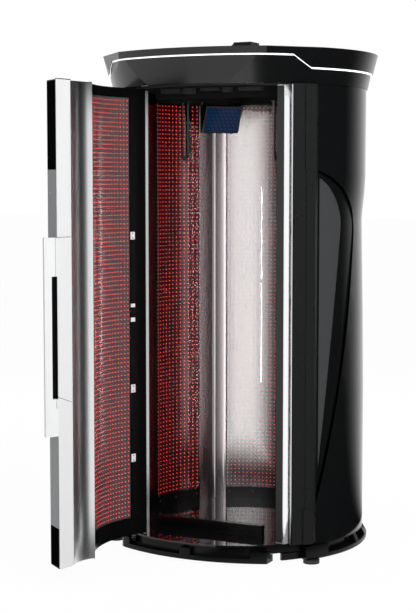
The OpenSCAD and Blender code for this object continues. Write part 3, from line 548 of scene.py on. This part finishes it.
def led_glow(name, strength, colour):
    """Red lens: its own light in the colour of the lit LEDs, on a clear red resin."""
    mat = finish(
        name, (0.4, 0.01, 0.01), lacquer_group(), {"Roughness": 0.7, "Haze": 0.02}, Emission_Color=(*colour, 1),
        Emission_Strength=strength, Specular_IOR_Level=0.0,
    )
    mat.cycles.emission_sampling = "NONE"
    return mat


def clear_cover():
    """Clear acrylic sheet: light passes straight through, and its front face mirrors the Fresnel share."""
    mat = finish(
        "clear acrylic", (0.95, 0.95, 0.95), lacquer_group(), {"Roughness": 0.03, "Haze": 0.02}, bump=0.0,
        IOR=ACRYLIC_IOR, Metallic=1.0,
    )
    tree = mat.node_tree
    clear = tree.nodes.new("ShaderNodeBsdfTransparent")
    clear.inputs["Color"].default_value = (0.985, 0.985, 0.985, 1)
    edge = tree.nodes.new("ShaderNodeFresnel")
    edge.inputs["IOR"].default_value = ACRYLIC_IOR
    back = tree.nodes.new("ShaderNodeNewGeometry").outputs["Backfacing"]
    share = math_node(tree, "MULTIPLY", edge.outputs["Fac"], math_node(tree, "SUBTRACT", 1.0, back))
    mixed_surface(tree, share, clear.outputs["BSDF"], tree.nodes["Principled BSDF"].outputs["BSDF"])
    return mat


def screen():
    """Dark blue touch screen with a fine even pattern of cells."""
    mat = finish("blue screen", (0.004, 0.012, 0.03), lacquer_group(), {"Roughness": 0.06}, bump=0.0)
    tree = mat.node_tree
    shader = tree.nodes["Principled BSDF"]
    coord = tree.nodes.new("ShaderNodeTexCoord")
    waves = []
    for direction in ("X", "Z"):
        wave = tree.nodes.new("ShaderNodeTexWave")
        wave.bands_direction = direction
        wave.inputs["Scale"].default_value = 18
        tree.links.new(coord.outputs["Object"], wave.inputs["Vector"])
        waves.append(wave.outputs["Fac"])
    cells = math_node(tree, "MULTIPLY", *waves)
    ramp = tree.nodes.new("ShaderNodeValToRGB")
    ramp.color_ramp.elements[0].color = (0.002, 0.016, 0.05, 1)
    ramp.color_ramp.elements[1].color = (0.008, 0.05, 0.14, 1)
    tree.links.new(cells, ramp.inputs["Fac"])
    tree.links.new(ramp.outputs["Color"], shader.inputs["Emission Color"])
    shader.inputs["Emission Strength"].default_value = 0.55
    return mat


def lit_strip():
    """White light strip: an even emitter under a milky cover."""
    return finish(
        "milky light strip", (0.9, 0.91, 0.92), powder_group(), {"Roughness": 0.35}, Emission_Color=(1, 1, 1, 1),
        Emission_Strength=1.0,
    )


def dress(material, *names):
    """Every CAD node named gets that one material in all its slots."""
    for name in names:
        mesh = NODES[name].data
        mesh.materials.clear()
        mesh.materials.append(material)


def paint(rows):
    """Dresses CAD nodes in satin paints, a row each: name, value, roughness, sheen, nodes."""
    for name, value, roughness, sheen, *nodes in rows:
        dress(satin_black(name, value, roughness, sheen), *nodes)


def plate(rows):
    """Dresses CAD nodes in metals, a row each: name, colour, roughness, grain, haze, nodes."""
    for name, colour, roughness, grain, haze, *nodes in rows:
        dress(metal(name, colour, roughness, grain, haze), *nodes)


# -------------------------------------------------------------- settings


class CabinLeds(bpy.types.PropertyGroup):
    """Sizes and colours of the LED fields."""

    pitch: FloatProperty(name="Pitch", description="Distance between two rows of LEDs", default=0.020, unit="LENGTH")
    rear_across: FloatProperty(name="Rear columns", description="Their distance", default=0.0207, unit="LENGTH")
    side_across: FloatProperty(name="Side columns", description="Their distance", default=0.0250, unit="LENGTH")
    radius: FloatProperty(name="Lens radius", description="Radius of one lens", default=0.0019, unit="LENGTH")
    height: FloatProperty(name="Lens height", description="Rise of one lens", default=0.0009, unit="LENGTH")
    edge: FloatProperty(name="Edge", description="Bare board above and below a field", default=0.004, unit="LENGTH")
    strength: FloatProperty(name="Strength", description="Brightness of a lit lens", default=7.0)
    rear_strength: FloatProperty(name="Rear strength", description="Brightness of a rear lens", default=2.3)
    colour: FloatVectorProperty(
        name="Light colour", description="Colour of the lit LEDs", subtype="COLOR", default=(1.0, 0.006, 0.006), size=3
    )


class CabinParts(bpy.types.PropertyGroup):
    """Sizes of the small parts."""

    screw_radius: FloatProperty(name="Screw radius", description="Of a screw's head", default=0.0038, unit="LENGTH")
    guard_rings: IntProperty(name="Guard rings", description="Rings in a fan's guard", default=6, min=2)


class CabinStage(bpy.types.PropertyGroup):
    """The floor, the lamps, the cards and the camera."""

    floor_colour: FloatVectorProperty(
        name="Floor colour", description="Colour of the floor", subtype="COLOR", default=(0.9, 0.9, 0.9), size=3
    )
    lens: FloatProperty(name="Lens", description="Focal length of the camera in millimetres", default=86.5)
    camera_at: FloatVectorProperty(
        name="Camera place", description="Where the camera stands", subtype="XYZ", default=(2.997, -6.529, 1.75), size=3
    )
    azimuth: FloatProperty(name="Azimuth", description="Camera angle round the cabin, in degrees", default=25.9)
    pitch_down: FloatProperty(name="Pitch", description="How far the camera looks down, in degrees", default=4.854)
    key_power: FloatProperty(name="Key power", description="Power of the front softbox", default=196.0)
    fill_power: FloatProperty(name="Fill power", description="Power of the side and rear softboxes", default=60.0)
    world_light: FloatProperty(name="Room light", description="Strength of the even room light", default=0.32)
    card_power: FloatProperty(name="Rear card", description="Brightness towards the rear wall", default=10.5)
    silver_card_power: FloatProperty(name="Silver card", description="Brightness towards the left column", default=1.2)
    chrome_card_power: FloatProperty(name="Chrome card", description="Brightness towards the right column", default=1.1)
    rear_strip_power: FloatProperty(name="Rear strips", description="Brightness towards the rear", default=40.0)
    door_strip_power: FloatProperty(name="Door strips", description="Brightness towards the door", default=4.0)


# ------------------------------------------------------------- operators


class CABIN_OT_leds(bpy.types.Operator):
    """Builds the four LED fields: rear, left and right on the cabin, and one on the door"""

    bl_idname = "cabin.leds"
    bl_label = "Build LED fields"

    def execute(self, context):
        s = context.scene.cabin_leds
        lens = led_glow("lit red lens", s.strength, s.colour)
        rear_lens = led_glow("lit rear lens", s.rear_strength, s.colour)
        door_z = (LED_Z0 + DOOR_FIELD_FOOT, LED_Z1 - DOOR_FIELD_TOP)
        fields = (
            ("rear_leds", *REAR_A, LED_Z0, LED_Z1, s.rear_across, "cabin"),
            ("right_leds", *RIGHT_A, LED_Z0, LED_Z1, s.side_across, "cabin"),
            ("left_leds", *LEFT_A, LED_Z0, LED_Z1, s.side_across, "cabin"),
            ("door_leds", *DOOR_A, *door_z, s.rear_across, "door"),
        )
        dome = [(s.radius * math.cos(t), s.height * math.sin(t)) for t in np.radians(LENS_ARC)]
        for name, a0, a1, z0, z1, across, body in fields:
            centre, inward = led_points(a0, a1, z0 + s.edge, z1 - s.edge, s.pitch, across)
            verts, faces = turned(centre, inward, [*dome, (0.0, s.height)])
            if body == "door":
                verts = door_turned(verts)
            piece = add_mesh(name, verts, faces, rear_lens if name == "rear_leds" else lens)
            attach(piece, body)
        return {"FINISHED"}


class CABIN_OT_door_parts(bpy.types.Operator):
    """Builds the door's hinge plates, dark lines, painted shadow lines on the handle, and screws"""

    bl_idname = "cabin.door_parts"
    bl_label = "Build door parts"

    def execute(self, context):
        s = context.scene.cabin_parts
        plates = []
        for z, height in PLATES:
            outline = arc_plan(*PLATE_R, *PLATE_A, steps=4)
            plates.append(prism(door_turned(outline), z - height / 2, z + height / 2))
        white = finish("plate white", (0.9, 0.9, 0.9), powder_group(), {"Roughness": 0.3})
        piece = add_mesh("hinge_plates", *merged(plates), white, smooth=False)
        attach(piece, "door")

        inner, outer = facet(*END_IN, 0.0)[:2], facet(*END_OUT, 0.0)[:2]
        along = (outer - inner) / np.linalg.norm(outer - inner)
        inward = np.array([along[1], -along[0]])
        front, slant, deep = -inward * CAP_PAST, along * CAP_SLANT, inward * CAP_DEEP
        rim = np.array([inner + front, outer + front, outer - slant + deep, inner + slant + deep])
        lines = [prism(door_turned(np.column_stack([rim, np.zeros(len(rim))])), *CAP_Z)]
        for outline in (SLOT_SIDE, SLOT_BACK):
            lines.append(prism(door_turned(facet(*np.transpose(outline), 0.0)), *SLOT_Z))
        # Painted shadow: thin dark bars along the handle plate's edges
        for heights in SHADOW_LINE_Z:
            ends = zip((outer, inner), SHADOW_LINE_PAST, heights)
            path = [[*(at + along * past - inward * SHADOW_LINE_OFF), z] for at, past, z in ends]
            lines.append(tube(door_turned(path), SHADOW_LINE_R, sides=6))
        black = satin_black("dark line and painted shadow black", value=0.004, roughness=0.5, sheen=0.2)
        piece = add_mesh("door_dark_and_shadow_lines", *merged(lines), black, smooth=False)
        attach(piece, "door")

        places, axes = [], []
        for z in FACE_SCREW_Z:
            places.append(facet(FACE_SCREW_S, DOOR_FACET_D, z))
            axes.append(facet(0.0, 1.0, 0.0))
        for z in PLATE_SCREW_Z:
            for up in (-PLATE_SCREW_UP, PLATE_SCREW_UP):
                places.append(around(PLATE_SCREW_A, PLATE_R[0], z + up))
                axes.append(-around(PLATE_SCREW_A, 1.0, 0.0))
        centre = door_turned(places)
        ahead = door_turned(np.add(places, axes)) - centre
        screws = turned(centre, ahead, screw_profile(s.screw_radius), SCREW_SIDES)
        steel = metal("screw steel", (0.45, 0.46, 0.47), roughness=0.3, grain=0.1, haze=0.05)
        piece = add_mesh("door_screws", *screws, steel)
        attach(piece, "door")
        return {"FINISHED"}


class CABIN_OT_inside_parts(bpy.types.Operator):
    """Builds the cabin's seals, trims, doorway edges, ceiling boxes, wall screws and fan guards"""

    bl_idname = "cabin.inside_parts"
    bl_label = "Build inside parts"

    def execute(self, context):
        s = context.scene.cabin_parts
        seal = satin_black("seal rubber", value=0.01, roughness=0.5)
        seals = []
        for a, inside in ((RIGHT_A[0], 1), (LEFT_A[1], -1), (REAR_A[0], 1), (REAR_A[1], -1)):
            plan = arc_plan(*SEAL_R, a + SEAL_A[0] * inside, a + SEAL_A[1] * inside, steps=3)
            seals.append(prism(plan, LED_Z0, LED_Z1))
        piece = add_mesh("cover_seals", *merged(seals), seal, smooth=False)
        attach(piece, "cabin")

        trims = []
        for side in (-1, 1):
            plan = arc_plan(*TRIM_R, side * TRIM_A[0], side * TRIM_A[1], steps=3)
            trims.append(prism(plan, FLOOR_Z + TRIM_GAP, CEILING_Z - TRIM_GAP))
        satin = metal("trim satin", (0.4, 0.4, 0.42), roughness=0.3, grain=0.02, haze=0.03)
        piece = add_mesh("column_trims", *merged(trims), satin, smooth=False)
        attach(piece, "cabin")

        edge = []
        for side in (-1, 1):
            corners = [facet(along, out, 0.0, side) for along, out in DOORWAY_EDGE]
            edge.append(prism(corners, FLOOR_Z + FOOT_GAP, DOORWAY_EDGE_TOP))
        bright = metal("trim polish", (0.9, 0.91, 0.92), roughness=0.12, grain=0.02, haze=0.03)
        piece = add_mesh("doorway_edges", *merged(edge), bright, smooth=False)
        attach(piece, "cabin")

        piece = add_mesh("column_seal", *prism(COLUMN_SEAL, FLOOR_Z + FOOT_GAP, COLUMN_SEAL_TOP), seal, smooth=False)
        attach(piece, "cabin")

        boxes = [prism(arc_plan(*CROWN_STRIP_R, -CROWN_STRIP_A, CROWN_STRIP_A, steps=24), *CROWN_STRIP_Z)]
        for x, y, wide, deep, tall in CEILING_MODULES:
            plan = [(x, y), (x + wide, y), (x + wide, y + deep), (x, y + deep)]
            boxes.append(prism(plan, CEILING_Z - tall, CEILING_Z))
        matt = satin_black("module black", value=0.06, roughness=0.7, sheen=0.0)
        piece = add_mesh("ceiling_modules", *merged(boxes), matt, smooth=False)
        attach(piece, "cabin")

        places, axes = [], []
        for (a0, a1), count in ((RIGHT_A, SIDE_SCREWS), (REAR_A, REAR_SCREWS), (LEFT_A, SIDE_SCREWS)):
            for a in np.linspace(a0 + WALL_SCREW_IN, a1 - WALL_SCREW_IN, count):
                for z in WALL_SCREW_Z:
                    places.append(around(a, ROOM_R, z))
                    axes.append(-around(a, 1.0, 0.0))
        screws = turned(places, axes, screw_profile(s.screw_radius), SCREW_SIDES)
        piece = add_mesh("wall_screws", *screws, black_steel())
        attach(piece, "cabin")

        guards = []
        turn = np.linspace(0, 2 * math.pi, GUARD_STEPS + 1)[:-1]
        for side in (-1, 1):
            hub = np.array([side * FAN_AT[0], FAN_AT[1], FAN_AT[2] - GUARD_DROP])
            for r in np.linspace(GUARD_R0, FAN_R, s.guard_rings):
                path = hub + np.stack([r * np.cos(turn), r * np.sin(turn), 0 * turn], -1)
                guards.append(tube(path, RING_WIRE, sides=6, closed=True))
            for k in range(SPOKES):
                a = math.radians(360 / SPOKES * (k + 0.5))
                far_end = hub + np.array([math.cos(a), math.sin(a), 0]) * (FAN_R + SPOKE_REACH)
                guards.append(tube([hub, (hub + far_end) / 2, far_end], SPOKE_WIRE, sides=6))
        wire = satin_black("guard wire", value=0.02, roughness=0.7, sheen=0.0)
        piece = add_mesh("fan_guards", *merged(guards), wire)
        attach(piece, "cabin")
        return {"FINISHED"}


class CABIN_OT_body_parts(bpy.types.Operator):
    """Builds the grey fields of the side scoops and the screws of the rear seams"""

    bl_idname = "cabin.body_parts"
    bl_label = "Build body parts"

    def execute(self, context):
        s = context.scene.cabin_parts
        grey = satin_black("scoop grey", value=0.06, roughness=0.35)
        for name, side in (("right_scoop_field", 1), ("left_scoop_field", -1)):
            verts, faces = scoop_field(side)
            piece = add_mesh(name, verts, faces, grey)
            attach(piece, "cabin")
        places, axes = [], []
        for a in SEAM_SCREW_A:
            for z in np.linspace(*SEAM_SCREW_Z, SEAM_SCREWS):
                tuck = WAIST_IN * math.exp(-(((z - WAIST_Z) / WAIST_WIDE) ** 2))
                places.append(around(a, SHELL_R - HEAD_SUNK - tuck, z))
                axes.append(around(a, 1.0, 0.0))
        screws = turned(places, axes, screw_profile(s.screw_radius), SCREW_SIDES)
        piece = add_mesh("shell_screws", *screws, black_steel())
        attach(piece, "cabin")
        return {"FINISHED"}


class CABIN_OT_body_finish(bpy.types.Operator):
    """Finishes the shells, the crown, the base and the doorway's frame"""

    bl_idname = "cabin.body_finish"
    bl_label = "Finish cabin"

    def execute(self, context):
        dress(gloss_black(), "rear_shell", "right_shell", "left_shell", "right_scoop_panel", "left_scoop_panel")
        dress(gloss_black("crown lacquer", roughness=0.2), "lower_crown", "upper_crown")
        paint(BODY_PAINTS)
        dress(lit_strip(), "accent_light")
        return {"FINISHED"}


class CABIN_OT_inside_finish(bpy.types.Operator):
    """Finishes the inside: floor, boards, covers, columns, ceiling, handles and display"""

    bl_idname = "cabin.inside_finish"
    bl_label = "Finish inside"

    def execute(self, context):
        dress(gloss_black("gloss floor", roughness=0.03), "cabin_floor")
        dress(clear_cover(), "right_cover", "left_cover", "rear_cover", "door_cover")
        plate(COLUMN_METALS)
        paint(INSIDE_PAINTS)
        dress(screen(), "display_glass")
        return {"FINISHED"}


class CABIN_OT_door_finish(bpy.types.Operator):
    """Finishes the door's outside, edge, handle and hinges"""

    bl_idname = "cabin.door_finish"
    bl_label = "Finish door"

    def execute(self, context):
        dress(gloss_black(), "door_skin")
        white = finish(
            "door white", (0.87, 0.875, 0.88), lacquer_group(), {"Roughness": 0.25, "Haze": 0.05},
            Specular_IOR_Level=0.3,
        )
        dress(white, "door_end_profile", "door_handle")
        dress(finish("hinge white", (0.9, 0.9, 0.9), powder_group(), {"Roughness": 0.35}), "hinge_brackets")
        paint(DOOR_PAINTS)
        plate(HINGE_METALS)
        return {"FINISHED"}


def area_lamp(name, at, size, power):
    """A softbox lamp at a point, turned to the cabin, that no mirror shows."""
    lamp = bpy.data.lights.new(name, "AREA")
    lamp.shape, lamp.size, lamp.size_y, lamp.energy = "RECTANGLE", size[0], size[1], power
    holder = bpy.data.objects.new(name, lamp)
    bpy.context.scene.collection.objects.link(holder)
    holder.location = at
    holder.visible_glossy = False
    holder.rotation_euler = (Vector(LAMP_AIM) - Vector(at)).to_track_quat("-Z", "Y").to_euler()


def reflected_only(piece):
    """Studio cards and flags that only glossy rays meet, as a camera in a studio keeps them out of its picture."""
    piece.visible_camera = piece.visible_diffuse = piece.visible_transmission = False
    piece.visible_shadow = piece.visible_volume_scatter = False


def upright_card(name, edges, heights, material, turn_round=False):
    """Flat upright card between two plan points; its front looks along (end - start) x up, or back if turned round."""
    (x0, y0), (x1, y1) = edges
    z0, z1 = heights
    corners = [[x0, y0, z0], [x1, y1, z0], [x1, y1, z1], [x0, y0, z1]]
    reflected_only(add_mesh(name, corners, [[3, 2, 1, 0] if turn_round else [0, 1, 2, 3]], material))


def smooth_fade(tree, value, span, ends):
    """Smooth step of a value over a span, from the first end to the second."""
    fade = tree.nodes.new("ShaderNodeMapRange")
    fade.interpolation_type = "SMOOTHSTEP"
    fade.inputs["From Min"].default_value, fade.inputs["From Max"].default_value = span
    fade.inputs["To Min"].default_value, fade.inputs["To Max"].default_value = ends
    tree.links.new(value, fade.inputs["Value"])
    return fade.outputs["Result"]


def card_material(name, strength, fades=()):
    """Light card that shines from its front only; each fade is an axis, where it is opaque and where it is clear."""
    mat, tree, shader = fresh_material(name)
    tree.nodes.remove(shader)
    shine, clear = tree.nodes.new("ShaderNodeEmission"), tree.nodes.new("ShaderNodeBsdfTransparent")
    shine.inputs["Strength"].default_value = strength
    away = tree.nodes.new("ShaderNodeNewGeometry").outputs["Backfacing"]
    place = object_xyz(tree)
    for axis, opaque, see_through in fades:
        fade = smooth_fade(tree, place[axis], (opaque, see_through), (0.0, 1.0))
        away = math_node(tree, "MAXIMUM", away, fade)
    mixed_surface(tree, away, shine.outputs["Emission"], clear.outputs["BSDF"])
    return mat


def flag_material(name, fade_in, fade_out):
    """Black studio flag round the cabin, see-through before the first pair of angles and past the second."""
    mat, tree, dark = fresh_material(name)
    clear = tree.nodes.new("ShaderNodeBsdfTransparent")
    dark.inputs["Base Color"].default_value = (0.004, 0.004, 0.004, 1)
    dark.inputs["Specular IOR Level"].default_value = 0.0
    place = object_xyz(tree)
    angle = math_node(tree, "ARCTAN2", place["X"], math_node(tree, "MULTIPLY", place["Y"], -1.0))
    before = smooth_fade(tree, angle, [math.radians(a) for a in fade_in], (1.0, 0.0))
    past = smooth_fade(tree, angle, [math.radians(a) for a in fade_out], (0.0, 1.0))
    mixed_surface(tree, math_node(tree, "MAXIMUM", before, past), dark.outputs["BSDF"], clear.outputs["BSDF"])
    return mat


def seen_by(tree, *kinds):
    """One for rays of any of the given kinds, by their Light Path outputs, and nought for the rest."""
    path = tree.nodes.new("ShaderNodeLightPath")
    seen = path.outputs[kinds[0]]
    for kind in kinds[1:]:
        seen = math_node(tree, "MAXIMUM", seen, path.outputs[kind])
    return seen


def floor_material(colour):
    """Pale floor that cameras and mirrors see as almost even white."""
    mat, tree, shader = fresh_material("pale floor")
    glow = tree.nodes.new("ShaderNodeEmission")
    shader.inputs["Base Color"].default_value = (*colour, 1)
    shader.inputs["Roughness"].default_value = 0.9
    glow.inputs["Strength"].default_value = FLOOR_WHITE
    share = math_node(tree, "MULTIPLY", seen_by(tree, "Is Camera Ray", "Is Glossy Ray"), FLOOR_SHARE)
    mixed_surface(tree, share, shader.outputs["BSDF"], glow.outputs["Emission"])
    return mat


class CABIN_OT_stage(bpy.types.Operator):
    """Sets the floor, the world, the cards and flags, the lamps and the camera"""

    bl_idname = "cabin.stage"
    bl_label = "Set stage"

    def execute(self, context):
        scene = context.scene
        s = scene.cabin_stage
        scene.view_settings.view_transform = "Standard"
        world = bpy.data.worlds.new("studio")
        scene.world = world
        world.use_nodes = True
        tree = world.node_tree
        ground = tree.nodes["Background"]
        ground.inputs["Color"].default_value = (1, 1, 1, 1)
        seen = seen_by(tree, "Is Camera Ray", "Is Glossy Ray", "Is Transmission Ray")
        lift = math_node(tree, "MULTIPLY", seen, 1 - s.world_light)
        tree.links.new(math_node(tree, "ADD", lift, s.world_light), ground.inputs["Strength"])

        steps = np.linspace(-FLOOR_HALF, FLOOR_HALF, FLOOR_POINTS)
        gx, gy = np.meshgrid(steps, steps)
        verts = np.stack([gx, gy, np.zeros_like(gx)], -1)
        floor = add_mesh("studio_floor", verts, grid_faces(FLOOR_POINTS, FLOOR_POINTS), floor_material(s.floor_colour))

        glow = card_material("rear light card", s.card_power, REAR_CARD_FADES)
        upright_card("rear_card", REAR_CARD, REAR_CARD_Z, glow, turn_round=True)
        for name, edges, power in (
            ("silver_card", SILVER_CARD, s.silver_card_power), ("chrome_card", CHROME_CARD, s.chrome_card_power),
        ):
            upright_card(name, edges, COLUMN_CARD_Z, card_material(name + " light", power))
        rear_strip = card_material("rear strip lamp", s.rear_strip_power)
        door_strip = card_material("door strip lamp", s.door_strip_power)
        for name, heights in STRIPS:
            rear = "rear" in name
            edges = [(x, REAR_STRIP_Y if rear else DOOR_STRIP_Y) for x in STRIP_X]
            upright_card(name, edges, heights, rear_strip if rear else door_strip, turn_round=rear)

        a = np.linspace(*DARK_FLAG_A, DARK_FLAG_STEPS)
        (near, far), (foot, top) = DARK_FLAG_R, DARK_FLAG_Z
        wall = np.stack([around(a, far, top), around(a, far, foot), around(a, near, foot)])
        black = flag_material("dark flag", *DARK_FLAG_FADES)
        reflected_only(add_mesh("dark_flag", wall, grid_faces(3, DARK_FLAG_STEPS), black))

        (x0, x1), (y0, y1), z = FLOOR_FLAG_X, FLOOR_FLAG_Y, FLOOR_FLAG_Z
        patch = [[x0, y0, z], [x1, y0, z], [x1, y1, z], [x0, y1, z]]
        black = flag_material("floor flag", *FLOOR_FLAG_FADES)
        reflected_only(add_mesh("floor_flag", patch, [[0, 1, 2, 3]], black))

        area_lamp("front softbox", at=(4.1, -4.9, 3.4), size=(2.6, 3.2), power=s.key_power)
        area_lamp("right softbox", at=(5.2, -1.5, 3.0), size=(2.0, 3.2), power=s.fill_power)
        area_lamp("rear softbox", at=(-3.0, 4.5, 3.6), size=(2.6, 3.0), power=s.fill_power)

        lens = bpy.data.cameras.new("camera")
        lens.lens, lens.sensor_width, lens.clip_end = s.lens, 36.0, 200.0
        camera = bpy.data.objects.new("camera", lens)
        scene.collection.objects.link(camera)
        camera.location = s.camera_at
        camera.rotation_euler = (math.radians(90 - s.pitch_down), 0, math.radians(s.azimuth))
        scene.camera = camera
        return {"FINISHED"}


class CABIN_PT_panel(bpy.types.Panel):
    """Lists the pieces and their settings in the 3D view's sidebar"""

    bl_idname = "CABIN_PT_panel"
    bl_label = "Light cabin"
    bl_space_type = "VIEW_3D"
    bl_region_type = "UI"
    bl_category = "Cabin"

    def draw(self, context):
        for step in STEPS:
            self.layout.operator(step.bl_idname)
        for settings in (context.scene.cabin_leds, context.scene.cabin_parts, context.scene.cabin_stage):
            for prop in settings.bl_rna.properties:
                if prop.identifier not in ("rna_type", "name"):
                    self.layout.prop(settings, prop.identifier)


STEPS = (
    CABIN_OT_leds, CABIN_OT_door_parts, CABIN_OT_inside_parts, CABIN_OT_body_parts, CABIN_OT_body_finish,
    CABIN_OT_inside_finish, CABIN_OT_door_finish, CABIN_OT_stage,
)
CLASSES = (CabinLeds, CabinParts, CabinStage, *STEPS, CABIN_PT_panel)


def register():
    for cls in CLASSES:
        bpy.utils.register_class(cls)
    bpy.types.Scene.cabin_leds = PointerProperty(type=CabinLeds)
    bpy.types.Scene.cabin_parts = PointerProperty(type=CabinParts)
    bpy.types.Scene.cabin_stage = PointerProperty(type=CabinStage)


def unregister():
    del bpy.types.Scene.cabin_leds
    del bpy.types.Scene.cabin_parts
    del bpy.types.Scene.cabin_stage
    for cls in reversed(CLASSES):
        bpy.utils.unregister_class(cls)


def main():
    register()
    bpy.ops.cabin.leds()
    bpy.ops.cabin.door_parts()
    bpy.ops.cabin.inside_parts()
    bpy.ops.cabin.body_parts()
    bpy.ops.cabin.body_finish()
    bpy.ops.cabin.inside_finish()
    bpy.ops.cabin.door_finish()
    bpy.ops.cabin.stage()


if __name__ == "__main__":
    main()
